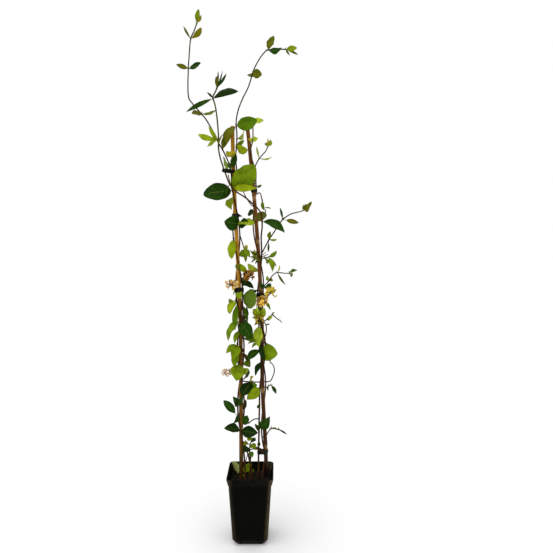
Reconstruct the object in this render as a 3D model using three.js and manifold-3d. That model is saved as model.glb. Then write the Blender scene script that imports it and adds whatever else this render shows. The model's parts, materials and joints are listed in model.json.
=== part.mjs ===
// A potted honeysuckle trained up two bamboo canes.
// Millimetres, +Z up. The origin is the middle of the pot's underside, on the surface it stands on.
// +X is the right of the plant seen from its front, and +Y is its back.
import * as THREE from 'three';
import { mergeVertices } from 'three/addons/utils/BufferGeometryUtils.js';
import Module from 'manifold-3d';

const wasm = await Module();
wasm.setup();

// ---------------------------------------------------------------- driving dimensions
const GAP = 0.35; // clearance between pieces that touch
const POT_RIM = 134; // outer width of the square collar at its top
const POT_HEIGHT = 200;
const POT_WALL = 1.8;
const COLLAR_HEIGHT = 21;
const COLLAR_BASE = 127; // outer width of the collar at its lower edge
const BODY_TOP = 123; // outer width just under the collar
const BODY_FOOT = 103; // outer width where the chamfer of the foot starts
const BASE_WIDTH = 80; // outer width on the ground
const FOOT_HEIGHT = 17;
const FLOOR = 3; // thickness of the pot's floor
const CORNER = 14; // radius of the pot's corners at the rim
const SOIL_TOP = 178;
const CANE_BOTTOM = 20;
const CANE_RADIUS = 6;
const CANE_LEFT_TOP = 1200;
const CANE_RIGHT_TOP = 1195;
const TWINE_RADIUS = 9.6; // from a cane's centre line to the centre of a stem wound round it
const BLADE = 0.8; // thickness of a leaf blade
const LEADER_STEP = 30; // spacing of the sections of a long stem
const SHOOT_STEP = 12; // and of a short one
const STEM_SIDES = 4;
const SEAT_SLACK = 0.5; // added where a side piece sits on a stem, which is not quite round

// ---------------------------------------------------------------- joining and cutting
function solidOf(geometry) {
  const bare = geometry.clone();
  bare.deleteAttribute('normal');
  bare.deleteAttribute('uv');
  const merged = mergeVertices(bare, 1e-4);
  return new wasm.Manifold(new wasm.Mesh({
    numProp: 3,
    vertProperties: new Float32Array(merged.attributes.position.array),
    triVerts: new Uint32Array(merged.index.array),
  }));
}

function geometryOf(solid) {
  const mesh = solid.getMesh();
  const geometry = new THREE.BufferGeometry();
  geometry.setAttribute('position', new THREE.BufferAttribute(mesh.vertProperties, 3));
  geometry.setIndex(new THREE.BufferAttribute(mesh.triVerts, 1));
  return geometry;
}

function join(solids) {
  return solids.reduce((whole, solid) => whole.add(solid));
}

const radians = THREE.MathUtils.degToRad;

// ---------------------------------------------------------------- lines of the canes
// Each cane is a gently bowed rod: its centre is a formula of its height.
function leftCane(z) {
  return new THREE.Vector3(-28 - 21 * THREE.MathUtils.smoothstep(z, 560, 1200), 2 - z / 300, z);
}

function rightCane(z) {
  const footLean = 4 * THREE.MathUtils.smoothstep(z, 20, 200);
  const lowerBow = 11 * THREE.MathUtils.smoothstep(z, 200, 500);
  const upperBow = 41 * Math.max(0, (z - 600) / 600) ** 1.5;
  return new THREE.Vector3(41 + footLean - lowerBow - upperBow, 10 - z / 240, z);
}

// Points of a stem that winds round a cane, clockwise as it climbs, one turn in `turn` of height.
function twine(cane, { from, to, angle, turn }) {
  const steps = Math.round((to - from) / 40);
  return Array.from({ length: steps + 1 }, (_, i) => {
    const z = from + ((to - from) * i) / steps;
    const around = radians(angle - ((z - from) / turn) * 360);
    const centre = cane(z);
    const x = centre.x + TWINE_RADIUS * Math.cos(around);
    const y = centre.y + TWINE_RADIUS * Math.sin(around);
    return [x, y, z];
  });
}

// ---------------------------------------------------------------- the stems and their leaves
// How a blade is shaped, in fractions of its length: how far its middle arches up, how far its
// edges rise for each unit of half-width, and how much of it is stalk. `waist` above 1 puts the
// widest part nearer the tip, and `blunt` below 1 fills out the ends.
const FORMS = {
  flat: { bow: 0.06, fold: 0.12, stalk: 0.06, waist: 0.85, blunt: 0.85 },
  arched: { bow: 0.15, fold: 0.16, stalk: 0.06, waist: 0.85, blunt: 0.85 },
  hanging: { bow: 0.22, fold: 0.2, stalk: 0.05, waist: 0.9, blunt: 0.9 },
  folded: { bow: 0.08, fold: 0.5, stalk: 0.07, waist: 0.9, blunt: 0.8 },
  cupped: { bow: -0.1, fold: 0.3, stalk: 0.05, waist: 1, blunt: 0.8 },
  round: { bow: 0.05, fold: 0.1, stalk: 0.05, waist: 0.9, blunt: 0.62 },
  oblong: { bow: 0.16, fold: 0.15, stalk: 0.06, waist: 1.15, blunt: 0.5 },
  narrow: { bow: 0.08, fold: 0.2, stalk: 0.06, waist: 0.9, blunt: 0.9 },
  petiole: { bow: 0.06, fold: 0.12, stalk: 0.24, waist: 0.9, blunt: 0.75 },
};

// A stem runs along `path` and thins from its first radius to its second. One with a parent
// starts on the parent's centre line, `at` millimetres along it. A leaf is given by the distance
// of its root along the stem, the azimuth and pitch of its midrib in degrees, its length and
// width, its roll about the midrib in degrees, and its form.
const STEMS = [
  {
    name: 'leader_left',
    radius: [2.1, 1.1],
    path: [
      [-15, -10, 150], [-16, -10, 185],
      ...twine(leftCane, { from: 230, to: 1010, angle: 0, turn: 338 }),
      [-52, -10, 1036], [-52, -11, 1061], [-58, -10, 1090], [-67, -8, 1113], [-77, -5, 1133],
      [-87, -1, 1150], [-108, 8, 1192], [-127, 14, 1224], [-140, 18, 1240], [-166, 24, 1270],
      [-179, 28, 1296], [-180, 38, 1371], [-178, 42, 1409], [-174, 48, 1462], [-164, 50, 1486],
      [-156, 52, 1510],
    ],
    leaves: [
      [174, -15, 0, 53, 34, 65, 'flat'],
      [174, -170, 15, 49, 30, -40, 'folded'],
      [214, 153, 41, 68, 24, -40, 'petiole'],
      [224, -116, -36, 33, 18, -80, 'arched'],
      [247, -113, 51, 46, 22, -115, 'arched'],
      [250, -56, 48, 47, 15, 145, 'hanging'],
      [359, 42, -44, 28, 22, 105, 'arched'],
      [369, 45, -7, 32, 23, 55, 'arched'],
      [451, -25, -5, 41, 22, 30, 'flat'],
      [475, -148, -55, 45, 19, -20, 'hanging'],
      [501, -18, -51, 58, 40, 75, 'hanging'],
      [504, 178, -56, 71, 35, -35, 'arched'],
      [554, -148, -84, 78, 20, -35, 'flat'],
      [554, 142, 17, 37, 17, -95, 'hanging'],
      [571, -120, -48, 56, 31, 10, 'petiole'],
      [571, -27, 45, 26, 19, 115, 'hanging'],
      [610, 134, -68, 37, 7, 55, 'hanging'],
      [692, 39, 29, 33, 22, 80, 'arched'],
      [785, -134, 6, 53, 43, -105, 'round'],
      [785, -41, 3, 40, 32, 70, 'flat'],
      [791, -42, -8, 60, 42, 25, 'round'],
      [865, -100, -60, 45, 34, 35, 'hanging'],
      [882, -170, -8, 83, 54, -70, 'round'],
      [887, -8, 43, 93, 71, 130, 'round'],
      [889, -12, -1, 73, 21, 95, 'arched'],
      [951, 117, 31, 60, 36, -110, 'flat'],
      [957, -78, -29, 45, 12, 15, 'arched'],
      [1003, 60, 71, 51, 17, 30, 'flat'],
      [1033, -155, 55, 48, 12, -115, 'arched'],
      [1037, 164, 18, 63, 17, -105, 'hanging'],
      [1037, 130, -6, 48, 38, -60, 'round'],
      [1129, -137, -8, 34, 27, -45, 'flat'],
      [1129, 15, 20, 49, 17, 160, 'narrow'],
      [1279, -175, 18, 37, 14, -105, 'flat'],
      [1279, -40, 7, 51, 19, 85, 'cupped'],
      [1368, -175, 60, 42, 7, -110, 'narrow'],
      [1368, 20, 49, 50, 17, 115, 'hanging'],
      [1419, -15, 82, 40, 15, 95, 'flat'],
      [1419, -61, 13, 37, 10, -180, 'narrow'],
    ],
  },
  {
    name: 'leader_middle',
    radius: [2.1, 1],
    path: [
      [4, 6, 150], [3, 7, 185], [-4, 10, 225], [-14, 13, 262],
      ...twine(leftCane, { from: 300, to: 1110, angle: 105, turn: 338 }),
      [-37, -10, 1143], [-36, -10, 1174], [-38, -9, 1210], [-32, -10, 1243], [-19, -14, 1274],
      [-4, -20, 1301], [5, -26, 1324], [14, -30, 1350], [28, -32, 1375], [41, -33, 1392],
      [51, -33, 1400], [72, -31, 1403], [102, -28, 1404],
    ],
    leaves: [
      [194, 55, 40, 30, 22, 10, 'flat'],
      [232, 80, 50, 38, 17, -25, 'flat'],
      [328, -43, 49, 50, 23, -170, 'flat'],
      [379, -95, -48, 54, 43, -15, 'flat'],
      [434, -165, -34, 41, 22, -45, 'arched'],
      [434, -110, -47, 54, 29, -30, 'hanging'],
      [502, 49, 58, 53, 18, 95, 'hanging'],
      [502, 60, -6, 43, 34, 40, 'flat'],
      [581, -45, -18, 61, 57, -95, 'round'],
      [605, 20, 60, 45, 33, 25, 'flat'],
      [622, -25, -25, 43, 22, 35, 'flat'],
      [677, 10, -47, 40, 18, 105, 'hanging'],
      [746, -128, -79, 57, 26, -20, 'round'],
      [988, -118, 1, 49, 27, -150, 'flat'],
      [991, -112, -71, 45, 23, 10, 'flat'],
      [1007, -30, -16, 38, 30, 125, 'round'],
      [1012, -5, 36, 28, 12, 105, 'narrow'],
      [1032, 66, 36, 51, 20, 110, 'arched'],
      [1068, -7, 14, 61, 39, 120, 'round'],
      [1068, -178, -62, 64, 32, -60, 'hanging'],
      [1220, -34, -17, 32, 25, 100, 'round'],
      [1220, 112, 2, 33, 18, -170, 'round'],
      [1296, -15, 64, 41, 23, 80, 'flat'],
      [1296, -10, 4, 39, 22, 155, 'arched'],
      [1347, 5, 9, 32, 15, 105, 'arched'],
      [1347, -53, -51, 29, 6, 70, 'narrow'],
      [1347, 38, -6, 46, 7, 105, 'narrow'],
    ],
  },
  {
    name: 'leader_crossing',
    radius: [2.3, 1.3],
    path: [
      [23, 2, 150], [23, 2, 185], [23, 1, 230], [24, 1, 290], [25, 3, 350], [26, 6, 395],
      ...twine(rightCane, { from: 432, to: 842, angle: 165, turn: 287 }),
      [32, -2, 886], [35, -8, 917], [33, -16, 948], [24, -20, 965], [8, -25, 980],
      [-14, -25, 998], [-37, -25, 1013], [-56, -26, 1035], [-66, -26, 1060], [-75, -24, 1085],
      [-83, -22, 1111], [-87, -21, 1136], [-87, -21, 1170], [-90, -23, 1214], [-95, -26, 1251],
      [-101, -28, 1273], [-94, -29, 1288], [-88, -30, 1301],
    ],
    leaves: [
      [166, 160, 60, 26, 14, -20, 'flat'],
      [176, -25, 48, 53, 31, 115, 'hanging'],
      [245, -139, -44, 13, 9, -55, 'flat'],
      [296, -155, -38, 52, 33, -70, 'flat'],
      [422, 60, 0, 26, 30, 25, 'flat'],
      [506, -35, 65, 35, 20, 125, 'flat'],
      [590, 135, -50, 39, 24, -60, 'arched'],
      [645, 151, 26, 49, 21, -100, 'hanging'],
      [792, -21, -25, 76, 34, 40, 'folded'],
      [810, 155, -45, 37, 24, -40, 'arched'],
      [935, -130, -70, 38, 26, 20, 'arched'],
      [1049, -58, 48, 39, 6, 115, 'narrow'],
      [1179, -10, 13, 74, 21, 40, 'oblong'],
      [1179, -179, -26, 85, 14, -90, 'narrow'],
      [1179, -155, 41, 24, 7, -85, 'narrow'],
      [1211, -105, 80, 31, 11, -155, 'arched'],
      [1211, 81, 75, 54, 5, 25, 'narrow'],
      [1211, -65, 34, 57, 5, 175, 'narrow'],
      [1211, 24, 57, 52, 8, 100, 'narrow'],
    ],
  },
  {
    name: 'leader_right',
    radius: [2, 1],
    path: [
      [34, -7, 150], [34, -7, 185], [38, -4, 215],
      ...twine(rightCane, { from: 245, to: 1125, angle: 264, turn: 298 }),
      [8, -1, 1160], [9, 3, 1190], [7, 5, 1212],
    ],
    leaves: [
      [182, 60, 5, 47, 22, -25, 'arched'],
      [382, -150, -57, 47, 20, -20, 'arched'],
      [412, -36, -1, 58, 48, 75, 'round'],
      [416, -161, -35, 53, 27, -35, 'arched'],
      [436, 160, -35, 32, 12, -50, 'hanging'],
      [439, 155, -15, 42, 11, -45, 'hanging'],
      [487, -91, -64, 64, 42, 40, 'flat'],
      [507, 140, 50, 37, 24, -30, 'flat'],
      [565, -15, -50, 41, 12, 35, 'narrow'],
      [599, 49, -9, 39, 26, 70, 'hanging'],
      [599, -110, 28, 36, 14, -135, 'hanging'],
      [677, -126, 34, 53, 8, -130, 'narrow'],
      [687, -160, 0, 25, 10, -15, 'narrow'],
      [698, -119, 30, 28, 17, 165, 'narrow'],
      [817, 54, -4, 61, 35, 125, 'round'],
      [821, 130, 8, 28, 23, -65, 'round'],
      [898, 7, 18, 18, 14, 150, 'narrow'],
      [898, 130, 30, 52, 26, 45, 'arched'],
      [1027, -131, 22, 17, 11, -105, 'flat'],
      [1033, -45, 0, 21, 15, 100, 'flat'],
      [1083, 10, 14, 34, 23, 55, 'flat'],
    ],
  },
  {
    name: 'basal_shoot',
    radius: [1.6, 0.9],
    path: [
      [-1, -14, 150], [-1, -14, 190], [0, -18, 236], [-2, -20, 263], [-1, -22, 285],
      [5, -24, 300],
    ],
    leaves: [
      [115, -166, 53, 27, 20, -115, 'arched'],
      [115, -51, -37, 19, 15, 15, 'arched'],
      [135, -45, -5, 28, 20, 25, 'arched'],
      [135, -133, 17, 28, 22, -15, 'hanging'],
      [152, -50, 15, 20, 16, 45, 'flat'],
      [152, 150, 10, 17, 16, -30, 'flat'],
    ],
  },
  {
    name: 'arching_shoot',
    parent: 'leader_crossing',
    at: 204,
    radius: [1.3, 0.9],
    path: [
      [12, -6, 356], [2, -12, 352], [-5, -16, 346],
    ],
    leaves: [
      [39, -150, 45, 30, 24, -85, 'flat'],
    ],
  },
  {
    name: 'curling_shoot_low',
    parent: 'leader_right',
    at: 151,
    radius: [1.2, 0.8],
    path: [
      [43, -3, 303], [54, -4, 320], [61, -9, 329], [83, -18, 329], [89, -20, 327],
    ],
    leaves: [
      [45, -44, 10, 30, 8, 30, 'narrow'],
      [70, -14, -26, 28, 6, 45, 'narrow'],
    ],
  },
  {
    name: 'looping_shoot',
    parent: 'leader_middle',
    at: 328,
    radius: [1.4, 0.8],
    path: [
      [-1, -14, 468], [17, -16, 468], [40, -16, 469], [57, -14, 470], [66, -12, 485],
      [70, -10, 502], [66, -9, 516], [57, -8, 525],
    ],
    leaves: [
      [25, -60, 45, 30, 18, 70, 'flat'],
      [27, 30, -41, 26, 20, 120, 'hanging'],
      [30, -132, -41, 52, 42, -10, 'flat'],
      [147, 110, 25, 19, 8, 10, 'narrow'],
    ],
  },
  {
    name: 'crinkled_shoot',
    parent: 'leader_right',
    at: 300,
    radius: [1.2, 0.8],
    path: [
      [48, -9, 450], [54, -12, 457], [60, -15, 459],
    ],
    leaves: [
      [30, -95, -60, 15, 8, 45, 'narrow'],
      [39, -16, -57, 30, 11, 55, 'hanging'],
    ],
  },
  {
    name: 'side_shoot_low',
    parent: 'leader_crossing',
    at: 495,
    radius: [1.2, 0.8],
    path: [
      [51, 0, 649], [63, -4, 661], [72, -8, 656], [82, -11, 648],
    ],
    leaves: [
      [19, -50, 20, 25, 15, 75, 'flat'],
      [40, 60, 30, 17, 8, -10, 'narrow'],
      [63, -20, -40, 14, 6, 15, 'narrow'],
    ],
  },
  {
    name: 'hooked_shoot',
    parent: 'leader_crossing',
    at: 446,
    radius: [1.2, 0.8],
    path: [
      [46, -2, 611], [46, -3, 629], [41, -2, 640],
    ],
    leaves: [
      [40, -40, 15, 16, 7, 40, 'narrow'],
    ],
  },
  {
    name: 'side_shoot_middle',
    parent: 'leader_right',
    at: 601,
    radius: [1.3, 0.8],
    path: [
      [42, 22, 746], [51, 27, 755], [63, 34, 772], [77, 40, 782], [98, 46, 780], [115, 50, 779],
    ],
    leaves: [
      [29, 149, 75, 17, 10, -80, 'arched'],
      [29, 63, 13, 27, 12, 60, 'arched'],
      [69, -15, -56, 45, 8, 105, 'narrow'],
      [69, 67, 50, 30, 7, 70, 'narrow'],
      [107, -10, 23, 26, 13, 50, 'hanging'],
      [107, 55, -33, 18, 13, 100, 'arched'],
    ],
  },
  {
    name: 'side_shoot_short',
    parent: 'leader_right',
    at: 684,
    radius: [1.3, 0.9],
    path: [
      [40, -14, 826], [52, -20, 828],
    ],
    leaves: [
      [20, -62, -44, 24, 19, -25, 'arched'],
      [31, 8, 35, 32, 13, 105, 'hanging'],
      [31, -25, -70, 43, 18, 35, 'hanging'],
      [31, 17, -45, 38, 9, 55, 'flat'],
    ],
  },
  {
    name: 'side_shoot_long',
    parent: 'leader_crossing',
    at: 697,
    radius: [1.5, 0.8],
    path: [
      [49, 2, 869], [54, -2, 878], [69, -10, 900], [87, -20, 927], [97, -25, 938],
      [117, -32, 950], [142, -40, 956], [153, -44, 960],
    ],
    leaves: [
      [45, -101, -83, 35, 6, -20, 'petiole'],
      [48, -48, 77, 24, 14, 105, 'narrow'],
      [48, 0, -1, 24, 9, 130, 'narrow'],
      [119, 148, 76, 36, 7, -50, 'narrow'],
      [119, -10, -12, 47, 14, 85, 'petiole'],
      [188, -57, 20, 28, 22, 100, 'round'],
      [188, 12, 47, 33, 11, 105, 'petiole'],
      [188, 90, 45, 26, 11, -60, 'narrow'],
    ],
  },
  {
    name: 'drooping_shoot',
    parent: 'leader_left',
    at: 755,
    radius: [1.2, 0.8],
    path: [
      [-24, -12, 877], [-19, -14, 862], [-16, -15, 852],
    ],
    leaves: [
      [46, 49, -79, 42, 12, 120, 'flat'],
      [48, 53, 32, 18, 14, 90, 'flat'],
      [48, -20, -53, 29, 17, 65, 'arched'],
    ],
  },
  {
    name: 'side_shoot_hanging',
    parent: 'leader_right',
    at: 875,
    radius: [1.2, 0.8],
    path: [
      [28, 20, 1014], [34, 24, 994], [39, 27, 971],
    ],
    leaves: [
      [39, -64, -72, 30, 11, 45, 'narrow'],
      [61, -15, -5, 23, 9, 30, 'narrow'],
      [61, 50, -60, 19, 8, 75, 'narrow'],
    ],
  },
  {
    name: 'tip_shoot',
    parent: 'leader_right',
    at: 949,
    radius: [1.3, 0.8],
    path: [
      [15, 13, 1091], [26, 15, 1112], [43, 20, 1132], [51, 22, 1147],
    ],
    leaves: [
      [40, -163, 77, 36, 6, -115, 'narrow'],
      [40, -10, 5, 38, 17, 175, 'narrow'],
      [84, 111, 38, 27, 11, -20, 'flat'],
      [84, 44, 63, 25, 13, 80, 'hanging'],
      [84, -88, 32, 37, 6, 175, 'narrow'],
    ],
  },
];

// A broad leaf has more stations along it than a small one, and a slim one has no midrib points.
const SLIM_WIDTH = 17;
const BROAD_WIDTH = 34;

function stationsFor(width) {
  if (width <= SLIM_WIDTH) {
    return [0.45];
  }
  return width < BROAD_WIDTH ? [0.27, 0.72] : [0.18, 0.5, 0.83];
}

function curveOf(points) {
  const curve = new THREE.CatmullRomCurve3(points, false, 'catmullrom', 0.5);
  curve.arcLengthDivisions = 2000;
  return curve;
}

function spineOf(curve, step) {
  return curve.getSpacedPoints(Math.max(2, Math.round(curve.getLength() / step)));
}

function pointOnSpine(spine, share) {
  const place = Math.min(share, 1) * (spine.length - 1);
  const i = Math.min(Math.floor(place), spine.length - 2);
  return spine[i].clone().lerp(spine[i + 1], place - i);
}

// A round rod along a curve, thinning evenly from one end to the other.
function rodSolid(curve, step, rootRadius, tipRadius, sides = STEM_SIDES) {
  const spine = spineOf(curve, step);
  const steps = spine.length - 1;
  const corners = Array.from({ length: sides }, (_, i) => {
    const around = (i / sides) * Math.PI * 2;
    return new THREE.Vector2(Math.cos(around), Math.sin(around));
  });
  const rod = new THREE.ExtrudeGeometry(new THREE.Shape(corners), {
    steps,
    extrudePath: curve,
    bevelEnabled: false,
  });
  const position = rod.attributes.position;
  const point = new THREE.Vector3();
  for (let i = 0; i < position.count; i++) {
    point.fromBufferAttribute(position, i);
    const distances = spine.map((centre) => centre.distanceTo(point));
    const nearest = distances.indexOf(Math.min(...distances));
    const radius = THREE.MathUtils.lerp(rootRadius, tipRadius, nearest / steps);
    point.sub(spine[nearest]).multiplyScalar(radius).add(spine[nearest]);
    position.setXYZ(i, point.x, point.y, point.z);
  }
  return solidOf(rod);
}

// A blade of even thickness. Each station across it has points on both edges and, on a broad
// leaf, on the midrib, once on the upper face and once on the under face.
function leafSolid(root, [, azimuth, pitch, length, width, roll, form]) {
  const { bow, fold, stalk, waist, blunt } = FORMS[form];
  const slim = width <= SLIM_WIDTH;
  const across = slim ? [-1, 1] : [-1, 0, 1];
  const stations = [0, ...stationsFor(width).map((u) => stalk + (1 - stalk) * u), 1];
  const a = radians(azimuth);
  const level = Math.cos(radians(pitch));
  const along = new THREE.Vector3(level * Math.cos(a), level * Math.sin(a), Math.sin(radians(pitch)));
  const side = new THREE.Vector3(-Math.sin(a), Math.cos(a), 0).applyAxisAngle(along, radians(roll));
  const up = new THREE.Vector3().crossVectors(along, side);
  const vertices = [];
  stations.forEach((t, i) => {
    const u = (t - stalk) / (1 - stalk);
    const isEnd = i === 0 || i === stations.length - 1;
    const half = isEnd ? 0.8 : (width / 2) * Math.sin(Math.PI * u ** waist) ** blunt;
    for (const face of [1, -1]) {
      for (const s of across) {
        const rise = bow * length * 4 * t * (1 - t) + fold * half * Math.abs(s);
        const point = root.clone();
        point.addScaledVector(along, t * length);
        point.addScaledVector(side, s * half);
        point.addScaledVector(up, rise + (face * BLADE) / 2);
        vertices.push(...point.toArray());
      }
    }
  });
  const count = across.length;
  const ring = 2 * count;
  const index = [];
  const quad = (p, q, r, s) => index.push(p, q, r, p, r, s);
  for (let i = 0; i < stations.length - 1; i++) {
    const here = i * ring;
    const next = here + ring;
    for (let j = 0; j < count - 1; j++) {
      quad(here + j, next + j, next + j + 1, here + j + 1);
      index.push(here + count + j, next + count + j + 1, next + count + j);
      index.push(here + count + j, here + count + j + 1, next + count + j + 1);
    }
    quad(here + count, next + count, next, here);
    quad(here + count - 1, next + count - 1, next + ring - 1, here + ring - 1);
  }
  const last = (stations.length - 1) * ring;
  for (let j = 0; j < count - 1; j++) {
    quad(j, j + 1, count + j + 1, count + j);
    quad(last + j + 1, last + j, last + count + j, last + count + j + 1);
  }
  const geometry = new THREE.BufferGeometry();
  geometry.setAttribute('position', new THREE.Float32BufferAttribute(vertices, 3));
  geometry.setIndex(index);
  return solidOf(geometry);
}

const curves = {};

for (const stem of STEMS) {
  const points = stem.path.map((p) => new THREE.Vector3(...p));
  if (stem.parent) {
    const parent = curves[stem.parent];
    points.unshift(pointOnSpine(spineOf(parent, LEADER_STEP), stem.at / parent.getLength()));
  }
  curves[stem.name] = curveOf(points);
}

function stemNamed(name) {
  return STEMS.find((stem) => stem.name === name);
}

const stepOf = (stem) => (stem.parent ? SHOOT_STEP : LEADER_STEP);

// The bark of a stem with the clearance added, which seats a side piece on it.
function seatOf(name) {
  const stem = stemNamed(name);
  const [rootRadius, tipRadius] = stem.radius.map((radius) => radius + GAP + SEAT_SLACK);
  return rodSolid(curves[name], stepOf(stem), rootRadius, tipRadius);
}

function leafyStem(stem) {
  const curve = curves[stem.name];
  const spine = spineOf(curve, stepOf(stem));
  const blades = stem.leaves.map((leaf) => {
    return leafSolid(pointOnSpine(spine, leaf[0] / curve.getLength()), leaf);
  });
  const whole = join([rodSolid(curve, stepOf(stem), ...stem.radius), ...blades]);
  return stem.parent ? whole.subtract(seatOf(stem.parent)) : whole;
}

// ---------------------------------------------------------------- flower heads
// A head is a whorl of curved tubes that open in a broad upper lip and a strap-like lower lip.
const HEADS = [
  { name: 'flowers_top', parent: 'leader_middle', at: 643, centre: [-2, -30, 775], turn: 35 },
  { name: 'flowers_left', parent: 'leader_left', at: 604, centre: [-52, -22, 749], turn: 70 },
  { name: 'flowers_right', parent: 'leader_right', at: 553, centre: [60, -18, 726], turn: 0 },
  { name: 'flowers_middle', parent: 'leader_crossing', at: 548, centre: [35, -24, 701], turn: 40 },
  { name: 'flowers_lower', parent: 'leader_crossing', at: 495, centre: [29, -24, 649], turn: 10 },
  { name: 'flowers_low_left', parent: 'leader_middle', at: 365, centre: [-67, -16, 494], turn: 55 },
];
const FLORETS = 6;

// A strap with a keel under it: three corners at each section, which are closed off at both ends.
function strapSolid(sections) {
  const vertices = sections.flatMap(({ centre, side, width, depth }) => {
    const left = centre.clone().addScaledVector(side, width / 2);
    const right = centre.clone().addScaledVector(side, -width / 2);
    const keel = centre.clone().setZ(centre.z - depth);
    return [...left.toArray(), ...right.toArray(), ...keel.toArray()];
  });
  const index = [0, 2, 1];
  for (let i = 0; i < sections.length - 1; i++) {
    for (let j = 0; j < 3; j++) {
      const k = (j + 1) % 3;
      index.push(i * 3 + j, (i + 1) * 3 + k, (i + 1) * 3 + j);
      index.push(i * 3 + j, i * 3 + k, (i + 1) * 3 + k);
    }
  }
  const last = (sections.length - 1) * 3;
  index.push(last, last + 1, last + 2);
  const geometry = new THREE.BufferGeometry();
  geometry.setAttribute('position', new THREE.Float32BufferAttribute(vertices, 3));
  geometry.setIndex(index);
  return solidOf(geometry);
}

// An open floret, or a bud that is still a closed club.
function floretSolid(centre, turn, isOpen) {
  const side = new THREE.Vector3(-Math.sin(turn), Math.cos(turn), 0);
  const section = (reach, rise, width, depth) => ({
    centre: new THREE.Vector3(Math.cos(turn) * reach, Math.sin(turn) * reach, rise).add(centre),
    side,
    width,
    depth,
  });
  if (!isOpen) {
    return strapSolid([section(1.5, 0, 1.6, 1.6), section(12, 9, 3.4, 3), section(15, 14, 1.2, 1)]);
  }
  const upper = [
    section(1.5, 0, 1.6, 1.6),
    section(12, 2, 3, 2.4),
    section(17, 7, 7.5, 1.4),
    section(15, 11, 5, 1),
  ];
  const lower = [section(10, 1.6, 1.4, 1.2), section(17, -1, 3, 1.2), section(18, -6, 2, 1)];
  return strapSolid(upper).add(strapSolid(lower));
}

function flowerHead({ parent, at, centre, turn }) {
  const middle = new THREE.Vector3(...centre);
  const parentCurve = curves[parent];
  const root = pointOnSpine(spineOf(parentCurve, LEADER_STEP), at / parentCurve.getLength());
  const stalk = curveOf([root, root.clone().lerp(middle, 0.5), middle]);
  const core = new THREE.OctahedronGeometry(3.2, 0);
  core.translate(...centre);
  const florets = Array.from({ length: FLORETS }, (_, i) => {
    return floretSolid(middle, radians(turn + (i / FLORETS) * 360), i % 2 === 0);
  });
  const whole = join([rodSolid(stalk, 100, 1.2, 1.2, 4), solidOf(core), ...florets]);
  return whole.subtract(seatOf(parent));
}

// ---------------------------------------------------------------- cane solids
const KNUCKLES = [150, 330, 500, 655, 800, 935, 1060]; // heights of the left cane's node rings
const KNUCKLE_DROP = 55; // how much lower the rings of the right cane are
const KNUCKLE_RISE = 0.8; // how far a ring stands out
const KNUCKLE_REACH = 5; // from a ring to where the cane is plain again
const CANE_SIDES = 8;
const CANE_APEX = 15000; // height at which the even thinning of a cane would end in a point

const caneRadius = (z) => CANE_RADIUS * (1 - z / CANE_APEX);

// A cane is turned straight, with a raised ring at each knuckle, and then bowed along its line.
function caneSolid({ line, top, knuckles }, margin = 0) {
  const foot = CANE_BOTTOM - margin;
  const profile = [[0, foot], [caneRadius(foot) + margin, foot]];
  knuckles.forEach((z, i) => {
    const above = ((knuckles[i + 1] ?? top) + z) / 2;
    const radius = caneRadius(z) + margin;
    profile.push([radius, z - KNUCKLE_REACH]);
    profile.push([radius + KNUCKLE_RISE, z]);
    profile.push([radius, z + KNUCKLE_REACH]);
    profile.push([caneRadius(above) + margin, above]);
  });
  profile.push([caneRadius(top) + margin, top], [0, top]);
  const rod = new THREE.LatheGeometry(profile.map(([r, z]) => new THREE.Vector2(r, z)), CANE_SIDES);
  rod.rotateX(Math.PI / 2);
  const position = rod.attributes.position;
  for (let i = 0; i < position.count; i++) {
    const centre = line(position.getZ(i));
    position.setX(i, position.getX(i) + centre.x);
    position.setY(i, position.getY(i) + centre.y);
  }
  return solidOf(rod);
}

const CANES = {
  cane_left: { line: leftCane, top: CANE_LEFT_TOP, knuckles: KNUCKLES },
  cane_right: {
    line: rightCane,
    top: CANE_RIGHT_TOP,
    knuckles: KNUCKLES.map((z) => z - KNUCKLE_DROP),
  },
};

// ---------------------------------------------------------------- pot
// A ring of points round a square of the given width with rounded corners.
function squareRing(width, corner, z) {
  const perCorner = 4;
  const inset = width / 2 - corner;
  const ring = [];
  for (let quarter = 0; quarter < 4; quarter++) {
    const middle = radians(45 + 90 * quarter);
    const centreX = Math.SQRT2 * inset * Math.cos(middle);
    const centreY = Math.SQRT2 * inset * Math.sin(middle);
    for (let i = 0; i <= perCorner; i++) {
      const around = middle + radians(-45 + (90 * i) / perCorner);
      ring.push([centreX + corner * Math.cos(around), centreY + corner * Math.sin(around), z]);
    }
  }
  return ring;
}

// A closed body through square rings, each given by its width, corner radius and height, from the
// lowest to the highest. The middle of its top rises by `domeRise`.
function squareSolid(sections, domeRise = 0) {
  const rings = sections.map(([width, corner, z]) => squareRing(width, corner, z));
  const size = rings[0].length;
  const vertices = rings.flat(2);
  const index = [];
  for (let i = 0; i < rings.length - 1; i++) {
    for (let j = 0; j < size; j++) {
      const k = (j + 1) % size;
      index.push(i * size + j, i * size + k, (i + 1) * size + k);
      index.push(i * size + j, (i + 1) * size + k, (i + 1) * size + j);
    }
  }
  const bottom = vertices.length / 3;
  const top = bottom + 1;
  vertices.push(0, 0, sections[0][2], 0, 0, sections.at(-1)[2] + domeRise);
  const last = (rings.length - 1) * size;
  for (let j = 0; j < size; j++) {
    const k = (j + 1) % size;
    index.push(bottom, k, j, top, last + j, last + k);
  }
  const geometry = new THREE.BufferGeometry();
  geometry.setAttribute('position', new THREE.Float32BufferAttribute(vertices, 3));
  geometry.setIndex(index);
  return solidOf(geometry);
}

const COLLAR_FOOT = POT_HEIGHT - COLLAR_HEIGHT;
const DRAIN_RADIUS = 4.5;
const DRAIN_REACH = BASE_WIDTH * 0.4; // from the pot's middle to the middle of a drain hole

const inner = (outer) => outer - 2 * POT_WALL;

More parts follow.
